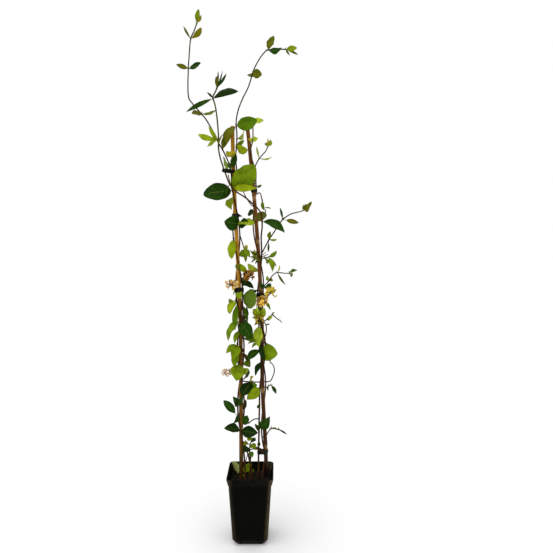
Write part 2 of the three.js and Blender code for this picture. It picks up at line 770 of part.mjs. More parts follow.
function potSolid() {
  const outside = squareSolid([
    [BASE_WIDTH, CORNER - 4, 0],
    [BODY_FOOT, CORNER - 3, FOOT_HEIGHT],
    [BODY_TOP, CORNER - 1, COLLAR_FOOT],
    [COLLAR_BASE, CORNER, COLLAR_FOOT + 1.5],
    [POT_RIM, CORNER, POT_HEIGHT - 5],
    [POT_RIM, CORNER, POT_HEIGHT - 1],
    [POT_RIM - 2, CORNER - 1, POT_HEIGHT],
  ]);
  const inside = squareSolid([
    [inner(BASE_WIDTH), CORNER - 5, FLOOR],
    [inner(BODY_FOOT), CORNER - 4, FOOT_HEIGHT],
    [inner(BODY_TOP), CORNER - 3, COLLAR_FOOT],
    [inner(COLLAR_BASE), CORNER - 3, COLLAR_FOOT + 3],
    [inner(POT_RIM) - 1, CORNER - 3, POT_HEIGHT + 1],
  ]);
  const drains = [45, 135, 225, 315].map((angle) => {
    const hole = new THREE.CylinderGeometry(DRAIN_RADIUS, DRAIN_RADIUS, 12, 8).rotateX(Math.PI / 2);
    hole.translate(DRAIN_REACH, 0, 0);
    return solidOf(hole.rotateZ(radians(angle)));
  });
  return drains.reduce((pot, hole) => pot.subtract(hole), outside.subtract(inside));
}

// ---------------------------------------------------------------- potting mix
const CRUMBS = 10;
const GOLDEN_ANGLE = Math.PI * (3 - Math.sqrt(5)); // keeps the crumbs from lining up
const ROOT_HOLE = 3.4; // radius of the plain hole that a stem stands in

function pottingMixSolid() {
  const slope = (BODY_TOP - BODY_FOOT) / (COLLAR_FOOT - FOOT_HEIGHT);
  const widthAt = (z) => inner(BODY_FOOT + slope * (z - FOOT_HEIGHT)) - 2 * GAP;
  const mass = squareSolid([
    [inner(BASE_WIDTH) - 2 * GAP, CORNER - 5, FLOOR + GAP],
    [widthAt(FOOT_HEIGHT), CORNER - 4, FOOT_HEIGHT],
    [widthAt(SOIL_TOP - 6), CORNER - 3, SOIL_TOP - 6],
    [widthAt(SOIL_TOP - 3), CORNER - 3, SOIL_TOP - 3],
    [80, 30, SOIL_TOP - 0.5],
    [40, 18, SOIL_TOP - 1.5],
  ], 1.5);
  const crumbs = [];
  for (let i = 0; i < CRUMBS; i++) {
    const around = i * GOLDEN_ANGLE;
    const reach = 7 + 13.5 * Math.sqrt(i);
    const size = 3.2 + 1.6 * Math.sin(i * 1.7);
    const crumb = new THREE.IcosahedronGeometry(size, 0);
    crumb.scale(1.3, 1, 0.8);
    crumb.rotateZ(i);
    crumb.translate(reach * Math.cos(around), reach * Math.sin(around), SOIL_TOP - 1.5);
    crumbs.push(solidOf(crumb));
  }
  const rootHoles = STEMS.filter((stem) => !stem.parent).map((stem) => {
    const [x, y, z] = stem.path[0];
    const hole = new THREE.CylinderGeometry(ROOT_HOLE, ROOT_HOLE, POT_HEIGHT - z, 8);
    return solidOf(hole.rotateX(Math.PI / 2).translate(x, y, (POT_HEIGHT + z) / 2 - 2 * GAP));
  });
  const caneHoles = Object.values(CANES).map((cane) => caneSolid(cane, GAP));
  const holes = [...caneHoles, ...rootHoles];
  return holes.reduce((soil, hole) => soil.subtract(hole), join([mass, ...crumbs]));
}

// ---------------------------------------------------------------- ties
// A tie is a flat band round a cane and the stems that it holds, all at one height.
const TIE_WALL = 1.2;
const TIE_SLACK = 0.6; // between the band and the cane
const TIED_STEM = 3.1; // radius that the band leaves for a stem, which slants through it
const TIES = [
  {
    name: 'tie_left_top',
    cane: 'cane_left',
    stems: ['leader_left', 'leader_crossing'],
    z: 1072,
    height: 10,
  },
  {
    name: 'tie_left_upper',
    cane: 'cane_left',
    stems: ['leader_left', 'leader_middle'],
    z: 947,
    height: 11,
  },
  {
    name: 'tie_left_middle',
    cane: 'cane_left',
    stems: ['leader_left', 'leader_middle'],
    z: 733,
    height: 14,
  },
  {
    name: 'tie_left_low',
    cane: 'cane_left',
    stems: ['leader_left', 'leader_middle'],
    z: 627,
    height: 13,
  },
  {
    name: 'tie_right_top',
    cane: 'cane_right',
    stems: ['leader_right'],
    z: 1020,
    height: 13,
  },
  {
    name: 'tie_right_middle',
    cane: 'cane_right',
    stems: ['leader_right', 'leader_crossing'],
    z: 717,
    height: 14,
  },
  {
    name: 'tie_right_low',
    cane: 'cane_right',
    stems: ['leader_right', 'leader_crossing'],
    z: 255,
    height: 12,
  },
];

function stemPointAtHeight(name, z) {
  const spine = spineOf(curves[name], LEADER_STEP);
  const i = spine.findIndex((point) => point.z > z);
  const share = (z - spine[i - 1].z) / (spine[i].z - spine[i - 1].z);
  return spine[i - 1].clone().lerp(spine[i], share);
}

// The outline that a band takes when it is drawn tight round some discs.
function hullRound(discs, margin) {
  const points = discs.flatMap(({ x, y, radius }) => Array.from({ length: 10 }, (_, i) => {
    const around = (i / 10) * Math.PI * 2;
    const reach = radius + margin;
    return new THREE.Vector2(x + reach * Math.cos(around), y + reach * Math.sin(around));
  }));
  points.sort((p, q) => p.x - q.x || p.y - q.y);
  const turnsLeft = (p, q, r) => (q.x - p.x) * (r.y - p.y) - (q.y - p.y) * (r.x - p.x) > 1e-6;
  const chain = (list) => list.reduce((hull, point) => {
    while (hull.length > 1 && !turnsLeft(hull.at(-2), hull.at(-1), point)) {
      hull.pop();
    }
    hull.push(point);
    return hull;
  }, []);
  const lower = chain(points);
  const upper = chain(points.slice().reverse());
  return [...lower.slice(0, -1), ...upper.slice(0, -1)];
}

function tieSolid({ cane, stems, z, height }) {
  const centre = CANES[cane].line(z);
  const discs = [{ x: centre.x, y: centre.y, radius: caneRadius(z) + TIE_SLACK }];
  for (const name of stems) {
    for (const level of [z - height / 2, z, z + height / 2]) {
      const point = stemPointAtHeight(name, level);
      discs.push({ x: point.x, y: point.y, radius: TIED_STEM });
    }
  }
  const band = new THREE.Shape(hullRound(discs, TIE_WALL));
  band.holes.push(new THREE.Path(hullRound(discs, 0).reverse()));
  const tie = new THREE.ExtrudeGeometry(band, { depth: height, bevelEnabled: false });
  return solidOf(tie.translate(0, 0, z - height / 2));
}

// ---------------------------------------------------------------- materials and nodes
const material = (color, roughness) => new THREE.MeshStandardMaterial({ color, roughness, metalness: 0 });
const blackPlastic = material(0x14150f, 0.5);
const pottingMix = material(0x2a1b10, 1);
const bamboo = material(0x8a5212, 0.55);
const tiePlastic = material(0x0c0e0c, 0.45);
const foliage = material(0x3f6b14, 0.5);
const petals = material(0xd9a24c, 0.6);

const group = new THREE.Group();

function addNode(name, solid, finish) {
  const mesh = new THREE.Mesh(geometryOf(solid), finish);
  mesh.name = name;
  group.add(mesh);
}

addNode('pot', potSolid(), blackPlastic);
addNode('potting_mix', pottingMixSolid(), pottingMix);
Object.entries(CANES).forEach(([name, cane]) => addNode(name, caneSolid(cane), bamboo));
TIES.forEach((tie) => addNode(tie.name, tieSolid(tie), tiePlastic));
STEMS.forEach((stem) => addNode(stem.name, leafyStem(stem), foliage));
HEADS.forEach((head) => addNode(head.name, flowerHead(head), petals));

export default group;
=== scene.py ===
# %% [markdown]
# # A potted honeysuckle on two canes
# The plant is a twining vine: four long leaders wind round two bamboo canes that stand in a deep
# square nursery pot, and a dozen side shoots grow out of them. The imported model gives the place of
# every piece. This script puts a finer piece over each of them and gives every surface its finish.

# %% The frame
import bisect
import json
import math
import random
from collections import namedtuple

import bmesh
import bpy
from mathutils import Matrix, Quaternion, Vector

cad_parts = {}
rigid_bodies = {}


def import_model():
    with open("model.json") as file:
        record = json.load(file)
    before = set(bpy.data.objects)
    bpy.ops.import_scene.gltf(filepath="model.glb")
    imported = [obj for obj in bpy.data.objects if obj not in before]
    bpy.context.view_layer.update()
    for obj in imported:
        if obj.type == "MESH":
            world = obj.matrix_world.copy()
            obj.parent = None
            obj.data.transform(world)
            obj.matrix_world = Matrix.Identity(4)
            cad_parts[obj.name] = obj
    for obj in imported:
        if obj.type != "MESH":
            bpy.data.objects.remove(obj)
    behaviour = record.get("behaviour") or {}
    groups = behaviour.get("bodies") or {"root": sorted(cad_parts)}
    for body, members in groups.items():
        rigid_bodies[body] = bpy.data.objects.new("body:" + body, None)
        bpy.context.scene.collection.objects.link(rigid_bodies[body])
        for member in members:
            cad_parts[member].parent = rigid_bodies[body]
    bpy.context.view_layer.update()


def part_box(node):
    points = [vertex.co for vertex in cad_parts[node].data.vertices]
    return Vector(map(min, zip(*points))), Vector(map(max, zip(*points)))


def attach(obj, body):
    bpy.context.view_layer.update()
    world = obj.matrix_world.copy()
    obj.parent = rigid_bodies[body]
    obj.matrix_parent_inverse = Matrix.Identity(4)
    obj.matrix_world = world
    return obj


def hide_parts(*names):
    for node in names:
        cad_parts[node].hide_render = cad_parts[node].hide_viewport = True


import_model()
MM = 0.001
pot_low, pot_high = (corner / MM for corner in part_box("pot"))

# %% [markdown]
# ## Arithmetic with sockets
# Blades, bark and petals are all described by formulas, in Geometry Nodes as well as in materials.
# Written node by node a formula can't be read any more. A small class that turns +, * and ** into
# Math nodes keeps each formula in one line of ordinary arithmetic.


# %% A node in one call, and a socket that can be added and multiplied
def add_node(tree, kind, inputs=None, **settings):
    """Adds a node. `inputs` gives each named or numbered input a value, a socket or a Number."""
    node = tree.nodes.new(kind)
    for name, value in settings.items():
        setattr(node, name, value)
    for key, value in (inputs or {}).items():
        value = value.socket if isinstance(value, Number) else value
        if isinstance(value, bpy.types.NodeSocket):
            tree.links.new(value, node.inputs[key])
        else:
            node.inputs[key].default_value = value
    return node


class Number:
    """A number that changes over a surface. Arithmetic with it adds Math nodes to its tree."""

    def __init__(self, socket):
        self.socket = socket

    def __add__(self, other):
        return math_node("ADD", self, other)

    def __sub__(self, other):
        return math_node("SUBTRACT", self, other)

    def __rsub__(self, other):
        return math_node("SUBTRACT", other, self)

    def __mul__(self, other):
        return math_node("MULTIPLY", self, other)

    def __truediv__(self, other):
        return math_node("DIVIDE", self, other)

    def __pow__(self, other):
        return math_node("POWER", self, other)

    __radd__ = __add__


def math_node(operation, *values):
    tree = next(value for value in values if isinstance(value, Number)).socket.id_data
    inputs = dict(enumerate(values))
    return Number(add_node(tree, "ShaderNodeMath", inputs, operation=operation).outputs[0])


def sine(value):
    return math_node("SINE", value)


def size_of(value):
    return math_node("ABSOLUTE", value)


def ramp(value, start, end):
    """0 below start and 1 above end, with a soft turn at both. Start may be above end."""
    inputs = {"Value": value, "From Min": min(start, end), "From Max": max(start, end)}
    tree = value.socket.id_data
    node = add_node(tree, "ShaderNodeMapRange", inputs, interpolation_type="SMOOTHSTEP")
    share = Number(node.outputs["Result"])
    return share if start < end else 1 - share


print("arithmetic ready")


# %% Attributes, vectors and trees
def field(tree, name, kind="FLOAT"):
    """The named attribute in a geometry tree."""
    node = add_node(tree, "GeometryNodeInputNamedAttribute", {"Name": name}, data_type=kind)
    return node.outputs["Attribute"]


def axes_of(vector):
    parts = add_node(vector.id_data, "ShaderNodeSeparateXYZ", {0: vector})
    return [Number(socket) for socket in parts.outputs]


def stretched(vector, factor):
    inputs = {0: vector, "Scale": factor}
    return add_node(vector.id_data, "ShaderNodeVectorMath", inputs, operation="SCALE").outputs[0]


def vector_sum(first, *others):
    for other in others:
        inputs = {0: first, 1: other}
        first = add_node(first.id_data, "ShaderNodeVectorMath", inputs).outputs[0]
    return first


def geometry_tree(name, sizes):
    """A Geometry Nodes tree with one named input for each size, and its input and output nodes.
    A size of None makes an input for an object."""
    tree = bpy.data.node_groups.new(name, "GeometryNodeTree")
    tree.interface.new_socket("Geometry", in_out="INPUT", socket_type="NodeSocketGeometry")
    for label, value in sizes.items():
        kinds = {int: "NodeSocketInt", float: "NodeSocketFloat", type(None): "NodeSocketObject"}
        socket = tree.interface.new_socket(label, in_out="INPUT", socket_type=kinds[type(value)])
        socket.default_value = value
    tree.interface.new_socket("Geometry", in_out="OUTPUT", socket_type="NodeSocketGeometry")
    return tree, add_node(tree, "NodeGroupInput"), add_node(tree, "NodeGroupOutput")


def end_tree(tree, result, geometry, material, smooth=True):
    """The last nodes of a geometry tree: smooth shading, the material and the output."""
    if smooth:
        geometry = add_node(tree, "GeometryNodeSetShadeSmooth", {"Geometry": geometry}).outputs[0]
    inputs = {"Geometry": geometry, "Material": material}
    geometry = add_node(tree, "GeometryNodeSetMaterial", inputs).outputs[0]
    tree.links.new(geometry, result.inputs["Geometry"])
    return tree


def grown(source, tree, **sizes):
    """The plain mesh that a tree makes of an object. The object and its modifier are removed.
    The named sizes replace the tree's own."""
    modifier = source.modifiers.new("grow", "NODES")
    modifier.node_group = tree
    for item in tree.interface.items_tree:
        label = item.name.lower().replace(" ", "_")
        if item.in_out == "INPUT" and label in sizes:
            modifier[item.identifier] = sizes[label]
    evaluated = source.evaluated_get(bpy.context.evaluated_depsgraph_get())
    mesh = bpy.data.meshes.new_from_object(evaluated)
    bpy.data.objects.remove(source)
    return mesh


print("node helpers ready")


# %% Objects from plain data
def linked(name, data):
    made = bpy.data.objects.new(name, data)
    bpy.context.scene.collection.objects.link(made)
    return made


def point_object(name, places, **attributes):
    """Loose points with one value of each named attribute for every point, to grow things on."""
    mesh = bpy.data.meshes.new(name)
    mesh.from_pydata(places, [], [])
    for label, values in attributes.items():
        is_vector = hasattr(values[0], "__len__")
        kind = "FLOAT_VECTOR" if is_vector else "FLOAT"
        data = mesh.attributes.new(label, kind, "POINT").data
        flat = [x for value in values for x in value] if is_vector else values
        data.foreach_set("vector" if is_vector else "value", flat)
    return linked(name, mesh)


def joined(meshes):
    """One mesh of several. Materials and named attributes come along."""
    objects = [linked("part", mesh) for mesh in meshes]
    with bpy.context.temp_override(active_object=objects[0], selected_editable_objects=objects):
        bpy.ops.object.join()
    mesh = objects[0].data
    bpy.data.objects.remove(objects[0])
    return mesh


def piece_of(name, mesh, nodes=(), crease=None):
    """A finished piece that rides on the frame and stands for some of its solids."""
    mesh.name = name
    piece = linked(name, mesh)
    if crease:
        mesh.set_sharp_from_angle(angle=math.radians(crease))
    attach(piece, "root")
    if nodes:
        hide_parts(*nodes)
    print(f"{name}: {len(mesh.polygons)} faces")


def bell(distance, reach):
    """1 at no distance, falling to almost nothing at twice the reach."""
    return math.exp(-((distance / reach) ** 2))


def smoothstep(value, start, end):
    share = min(1, max(0, (value - start) / (end - start)))
    return share * share * (3 - 2 * share)


print("object helpers ready")

# %% [markdown]
# ## Camera, floor and light
# The plant is tall and thin, seen from straight in front at about half its height, so the camera
# stands 1.5 m away and looks a little down, with the canes left of the middle. A white floor and a
# white sky keep the outline clean. The camera sees the sky at full strength, but it lights the plant
# with less, so one very wide sun from above, in front and to the left can give the leaves a light
# and a dark side.

# %% Camera
CAMERA_PLACE = Vector((76, -1480, 850)) * MM
CAMERA_PITCH = math.radians(3)  # downwards
CAMERA_LENS = 33.4

camera_data = bpy.data.cameras.new("camera")
camera_data.lens = CAMERA_LENS
camera = linked("camera", camera_data)
camera.location = CAMERA_PLACE
camera.rotation_euler = (math.pi / 2 - CAMERA_PITCH, 0, 0)
bpy.context.scene.camera = camera
print("camera at", tuple(round(v, 3) for v in CAMERA_PLACE))


# %% Sky, sun and floor
def principled(name, **values):
    """A material with a Principled shader, whose plain values are set on its own sockets."""
    material = bpy.data.materials.new(name)
    material.use_nodes = True
    shader = material.node_tree.nodes["Principled BSDF"]
    for label, value in values.items():
        shader.inputs[label.replace("_", " ").title().replace("Ior", "IOR")].default_value = value
    return material, material.node_tree, shader


SKY_LIGHT = 0.63  # beside 1 where the camera sees it
SUN_STRENGTH = 1.7
SUN_SPREAD = math.radians(90)
SUN_AIM = Vector((0.2, 0.36, -1))
FLOOR_REACH = 30
FLOOR_WHITE = (0.93, 0.93, 0.93, 1)

world = bpy.data.worlds.new("sky")
bpy.context.scene.world = world
world.use_nodes = True
sky = world.node_tree.nodes["Background"]
sky.inputs["Color"].default_value = (1, 1, 1, 1)
seen = Number(add_node(world.node_tree, "ShaderNodeLightPath").outputs["Is Camera Ray"])
world.node_tree.links.new((seen * (1 - SKY_LIGHT) + SKY_LIGHT).socket, sky.inputs["Strength"])
sun_data = bpy.data.lights.new("sun", "SUN")
sun_data.angle = SUN_SPREAD
sun_data.energy = SUN_STRENGTH
sun = linked("sun", sun_data)
sun.rotation_euler = SUN_AIM.to_track_quat("-Z", "Y").to_euler()

corners = [Vector((x, y, 0)) * FLOOR_REACH for x, y in ((-1, -1), (1, -1), (1, 1), (-1, 1))]
floor_mesh = bpy.data.meshes.new("floor")
floor_mesh.from_pydata(corners, [], [(0, 1, 2, 3)])
floor_mesh.materials.append(principled("floor_white", base_color=FLOOR_WHITE, roughness=0.9)[0])
linked("floor", floor_mesh)
bpy.context.scene.view_settings.view_transform = "Standard"
print("sky, sun and floor ready")

# %% [markdown]
# ## Finishes
# Nothing on this plant has one flat colour. Every material starts from a base colour and varies it
# with soft blotches, and what has fibres, such as bark and bamboo, gets streaks along its length.
# Both effects are node groups, built once and placed in each material with their own values. The
# streaks read how high a spot is and an attribute that every rod carries: the direction out of it,
# which has no seam where the tube closes.


# %% Colours and what a material reads
def srgb(red, green, blue):
    """A colour given by its screen values, 0 to 255, as Blender's linear values."""
    def linear(value):
        value /= 255
        return value / 12.92 if value <= 0.04045 else ((value + 0.055) / 1.055) ** 2.4
    return linear(red), linear(green), linear(blue), 1


def attribute(tree, name, output="Fac"):
    socket = add_node(tree, "ShaderNodeAttribute", attribute_name=name).outputs[output]
    return Number(socket) if output == "Fac" else socket


def own_place(tree):
    """The three coordinates of a spot in its own piece, in metres."""
    return axes_of(add_node(tree, "ShaderNodeTexCoord").outputs["Object"])


def blend_colours(tree, share, first, second, mode="MIX"):
    """`first` where the share is 0 and `second` where it is 1, each a colour or a socket."""
    inputs = {"Factor": share, 6: first, 7: second}
    return add_node(tree, "ShaderNodeMix", inputs, data_type="RGBA", blend_type=mode).outputs[2]


def relief(tree, shader, height, depth):
    """Fine relief: `height` between 0 and 1 stands for `depth` metres."""
    bump = add_node(tree, "ShaderNodeBump", {"Height": height, "Distance": depth, "Strength": 1.0})
    tree.links.new(bump.outputs["Normal"], shader.inputs["Normal"])


def connect(tree, shader, colour, roughness=None):
    tree.links.new(colour, shader.inputs["Base Color"])
    if roughness is not None:
        tree.links.new(roughness.socket, shader.inputs["Roughness"])


print("half grey is", round(srgb(128, 128, 128)[0], 3), "in linear values")


# %% Shared effects
STREAKS_PER_METRE = 4000  # for streaks as long as they are wide


def shader_group(name, **inputs):
    """A node group that takes plain numbers and gives one amount."""
    tree = bpy.data.node_groups.new(name, "ShaderNodeTree")
    for label, value in inputs.items():
        socket = tree.interface.new_socket(label, in_out="INPUT", socket_type="NodeSocketFloat")
        socket.default_value = value
    tree.interface.new_socket("Amount", in_out="OUTPUT", socket_type="NodeSocketFloat")
    return tree, add_node(tree, "NodeGroupInput").outputs, add_node(tree, "NodeGroupOutput")


def blotches_group():
    """Soft blotches between 0 and 1, from the piece's own coordinates in metres."""
    tree, given, result = shader_group("blotches", Scale=40.0, Detail=3.0)
    place = add_node(tree, "ShaderNodeTexCoord").outputs["Object"]
    inputs = {"Vector": place, "Scale": given["Scale"], "Detail": given["Detail"]}
    noise = Number(add_node(tree, "ShaderNodeTexNoise", inputs).outputs["Fac"])
    tree.links.new(ramp(noise, 0.32, 0.68).socket, result.inputs["Amount"])
    return tree


def fibres_group():
    """Streaks that run along a rod. `Length` is how many times longer than wide a streak is."""
    tree, given, result = shader_group("fibres", Fineness=3.0, Length=20.0)
    x, y, _ = axes_of(attribute(tree, "girth", "Vector"))
    fineness = Number(given["Fineness"])
    lengthwise = own_place(tree)[2] * STREAKS_PER_METRE / Number(given["Length"])
    inputs = {0: x * fineness, 1: y * fineness, 2: lengthwise}
    spot = add_node(tree, "ShaderNodeCombineXYZ", inputs).outputs[0]
    inputs = {"Vector": spot, "Scale": 1.0, "Detail": 4.0, "Roughness": 0.6}
    noise = Number(add_node(tree, "ShaderNodeTexNoise", inputs).outputs["Fac"])
    tree.links.new(ramp(noise, 0.3, 0.7).socket, result.inputs["Amount"])
    return tree


BLOTCHES = blotches_group()
FIBRES = fibres_group()


def effect(tree, group, **values):
    """One of the two groups, placed in a material with its own values."""
    node = add_node(tree, "ShaderNodeGroup", node_tree=group)
    for label, value in values.items():
        node.inputs[label.title()].default_value = value
    return Number(node.outputs["Amount"])


print("shared effects:", BLOTCHES.name, FIBRES.name)

# %% [markdown]
# ## The pot
# A nursery pot is thin moulded plastic: square with round corners, a wide collar round the rim, a
# chamfered foot with a few fine moulding lines, and drain holes in its floor. Its walls are straight
# between rings, so it is lofted: a list of square rings goes up the outside, over the rim and down
# the inside. A Boolean cuts the drain holes, because they cross the rings.

# %% Rings and lofts
POT_RIM = pot_high.x - pot_low.x
POT_HEIGHT = pot_high.z
POT_WALL = 1.8
COLLAR_FOOT = POT_HEIGHT - 21
COLLAR_BASE = POT_RIM - 7
BODY_TOP = 123
BODY_FOOT = 103
BASE_WIDTH = 80
FOOT_HEIGHT = 17
FOOT_LINES = (4, 7.5, 11, 14.5)  # heights of the moulding lines
FLOOR_THICKNESS = 3
CORNER = 14
CORNER_STEPS = 8
DRAIN_RADIUS = 4.5
DRAIN_REACH = BASE_WIDTH * 0.4
DRILL_LENGTH = 12


def square_ring(width, corner, z):
    """Points round a square with round corners, in millimetres."""
    inset = width / 2 - corner
    ring = []
    for quarter in range(4):
        middle = math.radians(45 + 90 * quarter)
        centre = Vector((math.cos(middle), math.sin(middle), 0)) * inset * math.sqrt(2)
        for step in range(CORNER_STEPS + 1):
            around = middle + math.radians(90 * step / CORNER_STEPS - 45)
            out = Vector((math.cos(around), math.sin(around), 0)) * corner
            ring.append(centre + out + Vector((0, 0, z)))
    return ring


def loft(rings, closed=False):
    """A skin over rings of equal length, in millimetres. A closed loft ends where it began, and
    any other gets a face at each end."""
    mesh = bmesh.new()
    rows = [[mesh.verts.new(point * MM) for point in ring] for ring in rings]
    pairs = list(zip(rows, rows[1:])) + ([(rows[-1], rows[0])] if closed else [])
    for low, high in pairs:
        for i in range(len(low)):
            k = (i + 1) % len(low)
            mesh.faces.new((low[i], low[k], high[k], high[i]))
    if not closed:
        mesh.faces.new(rows[0][::-1])
        mesh.faces.new(rows[-1])
    bmesh.ops.recalc_face_normals(mesh, faces=mesh.faces)
    return mesh


def mesh_from(shape, name, material):
    """A plain mesh with one material from a bmesh."""
    mesh = bpy.data.meshes.new(name)
    for face in shape.faces:
        face.smooth = True
    shape.to_mesh(mesh)
    shape.free()
    mesh.materials.append(material)
    return mesh


print("pot rim in mm:", round(POT_RIM, 1), "height:", round(POT_HEIGHT, 1))


# %% Pot plastic
FOOT_HALF, RIM_HALF = 0.052, 0.064  # about half of the pot's width, in metres
SHEEN_REACH = 0.016  # how far from a corner the painted edge sheen reaches


def pot_plastic():
    """Black plastic with dust at its foot and rim, and a painted highlight on its corners: a warm
    sheen, stronger at the right, where the light falls.
    """
    material, tree, shader = principled("pot_plastic", specular_ior_level=0.03)
    dust_and_sheen_blotches = effect(tree, BLOTCHES, scale=60, detail=5)
    x, y, height = own_place(tree)
    dusty = ramp(height, 0.03, 0.0) * 0.5 + ramp(height, 0.17, 0.2) * 0.25
    half = ramp(height, 0.0, 0.2) * (RIM_HALF - FOOT_HALF) + FOOT_HALF
    # painted highlight: the vertical corners get a warm sheen, stronger at the right, in place of
    # their reflection
    corner = ramp(math_node("MINIMUM", size_of(x), size_of(y)) - half, -SHEEN_REACH, 0.0)
    painted_edge_sheen = corner * (0.35 + ramp(x, -0.02, 0.06) * 0.5)
    black, dust, sheen_colour = srgb(3, 4, 2), srgb(40, 36, 26), srgb(92, 80, 54)
    colour = blend_colours(tree, dusty * dust_and_sheen_blotches + 0.02, black, dust)
    colour = blend_colours(tree, painted_edge_sheen * (0.6 + dust_and_sheen_blotches * 0.4), colour, sheen_colour)
    connect(tree, shader, colour, 0.34 + dust_and_sheen_blotches * 0.16)
    relief(tree, shader, effect(tree, BLOTCHES, scale=900, detail=2), 0.00006)
    return material


POT_PLASTIC = pot_plastic()
print("finish:", POT_PLASTIC.name)


# %% The pot's rings
def inner(width):
    return width - 2 * POT_WALL


def pot_rings():
    """Width, corner and height of each ring, up the outside and down the inside."""
    slope = (BODY_FOOT - BASE_WIDTH) / FOOT_HEIGHT
    rings = [(BASE_WIDTH - 2, CORNER - 5, 0), (BASE_WIDTH, CORNER - 4, 0.8)]
    for line in FOOT_LINES:
        width = BASE_WIDTH + slope * line
        rings += [
            (width - 1, CORNER - 4, line - 0.7),
            (width + 0.5, CORNER - 4, line),
            (width + 0.5, CORNER - 4, line + 0.5),
        ]
    return rings + [
        (BODY_FOOT - 0.6, CORNER - 3, FOOT_HEIGHT - 0.5),
        (BODY_FOOT, CORNER - 3, FOOT_HEIGHT + 1),
        (BODY_TOP, CORNER - 1, COLLAR_FOOT - 0.4),
        (BODY_TOP + 1, CORNER - 1, COLLAR_FOOT),
        (COLLAR_BASE - 1, CORNER, COLLAR_FOOT + 0.3),
        (COLLAR_BASE, CORNER, COLLAR_FOOT + 1.5),
        (POT_RIM - 1.2, CORNER, POT_HEIGHT - 7),
        (POT_RIM, CORNER, POT_HEIGHT - 5),
        (POT_RIM, CORNER, POT_HEIGHT - 1.2),
        (POT_RIM - 1, CORNER - 0.5, POT_HEIGHT - 0.2),
        (POT_RIM - 2, CORNER - 1, POT_HEIGHT),
        (inner(POT_RIM) + 0.4, CORNER - 3, POT_HEIGHT - 0.3),
        (inner(POT_RIM) - 1, CORNER - 3, POT_HEIGHT - 1),
        (inner(COLLAR_BASE), CORNER - 3, COLLAR_FOOT + 3),
        (inner(BODY_TOP), CORNER - 3, COLLAR_FOOT),
        (inner(BODY_FOOT), CORNER - 4, FOOT_HEIGHT),
        (inner(BASE_WIDTH), CORNER - 5, FLOOR_THICKNESS),
    ]


print("rings of the pot:", len(pot_rings()))


# %% Drains, and the pot itself
def drain_drills():
    """Four round drills, one near each corner of the floor."""
    drills = bmesh.new()
    size = {"radius1": DRAIN_RADIUS * MM, "radius2": DRAIN_RADIUS * MM, "depth": DRILL_LENGTH * MM}
    for angle in (45, 135, 225, 315):
        made = bmesh.ops.create_cone(drills, cap_ends=True, segments=24, **size)["verts"]
        turn = math.radians(angle)
        place = Vector((math.cos(turn), math.sin(turn), 0)) * DRAIN_REACH * MM
        bmesh.ops.translate(drills, verts=made, vec=place)
    return drills


def pot_mesh():
    body = loft([square_ring(*section) for section in pot_rings()])
    pot = linked("pot_blank", mesh_from(body, "pot_blank", POT_PLASTIC))
    drill = linked("drill", mesh_from(drain_drills(), "drill", POT_PLASTIC))
    cut = pot.modifiers.new("drains", "BOOLEAN")
    cut.object = drill
    cut.solver = "EXACT"
    mesh = bpy.data.meshes.new_from_object(pot.evaluated_get(bpy.context.evaluated_depsgraph_get()))
    bpy.data.objects.remove(pot)
    bpy.data.objects.remove(drill)
    return mesh


piece_of("nursery_pot", pot_mesh(), ["pot"], crease=28)

# %% [markdown]
# ## The potting mix
# Bark compost is a heap of crumbs, chips and fibres, nearly black where it is damp. Its body is a
# plain block with an uneven top. The crumbs are scattered over that top by a Geometry Nodes tree:
# each starts as a ball of twenty faces, gets its own size, turn and shade, and is then pushed out of
# round by a noise, so that no two are alike.

# %% Compost body
SOIL_TOP = 178
SOIL_EDGE = SOIL_TOP - 4  # where the walls end and the uneven top begins
SOIL_CLEARANCE = 0.35
TOP_RINGS = 12
CRUMB_MARGIN = 3.5
GROUND_STEPS = 16


def compost_finish():
    material, tree, shader = principled("compost", roughness=0.95, specular_ior_level=0.2)
    shade = attribute(tree, "shade")
    grain = effect(tree, BLOTCHES, scale=700, detail=4)
    colour = blend_colours(tree, ramp(shade, 0.1, 0.95), srgb(13, 12, 6), srgb(50, 40, 20))
    pale = blend_colours(tree, ramp(shade, 0.955, 0.97), colour, srgb(150, 120, 84))
    connect(tree, shader, blend_colours(tree, grain * 0.5, pale, srgb(14, 9, 6)))
    relief(tree, shader, grain, 0.0006)
    return material


COMPOST = compost_finish()


def soil_height(x, y):
    """The level of the top: long waves with short ones on them."""
    level = SOIL_TOP - 1.8 + 1.5 * math.sin(x / 11) * math.cos(y / 13)
    return level + 0.7 * math.sin(x / 3.7 + y / 5)


def soil_width(z):
    slope = (BODY_TOP - BODY_FOOT) / (COLLAR_FOOT - FOOT_HEIGHT)
    return inner(BODY_FOOT + slope * (z - FOOT_HEIGHT)) - 2 * SOIL_CLEARANCE


def compost_mesh():
    rings = [square_ring(inner(BASE_WIDTH) - 1, CORNER - 5, FLOOR_THICKNESS + SOIL_CLEARANCE)]
    rings.append(square_ring(soil_width(FOOT_HEIGHT), CORNER - 4, FOOT_HEIGHT))
    edge = soil_width(SOIL_EDGE)
    rings.append(square_ring(edge, CORNER - 3, SOIL_EDGE))
    for step in range(1, TOP_RINGS):
        share = 1 - step / TOP_RINGS
        ring = square_ring(edge * share, (CORNER - 3) * share, 0)
        rings.append([Vector((p.x, p.y, soil_height(p.x, p.y))) for p in ring])
    return mesh_from(loft(rings), "compost", COMPOST)


print("the compost is", round(soil_width(SOIL_EDGE)), "mm wide at its top")


# %% Crumbs by Geometry Nodes
CRUMB_SIZES = {
    "Crumbs per square metre": 90000.0,
    "Smallest": 0.8 * MM,
    "Largest": 3.4 * MM,
    "Roughness": 3.0 * MM,
    "Seed": 4,
}
LARGE_RARITY = 3.5  # the higher, the fewer large crumbs


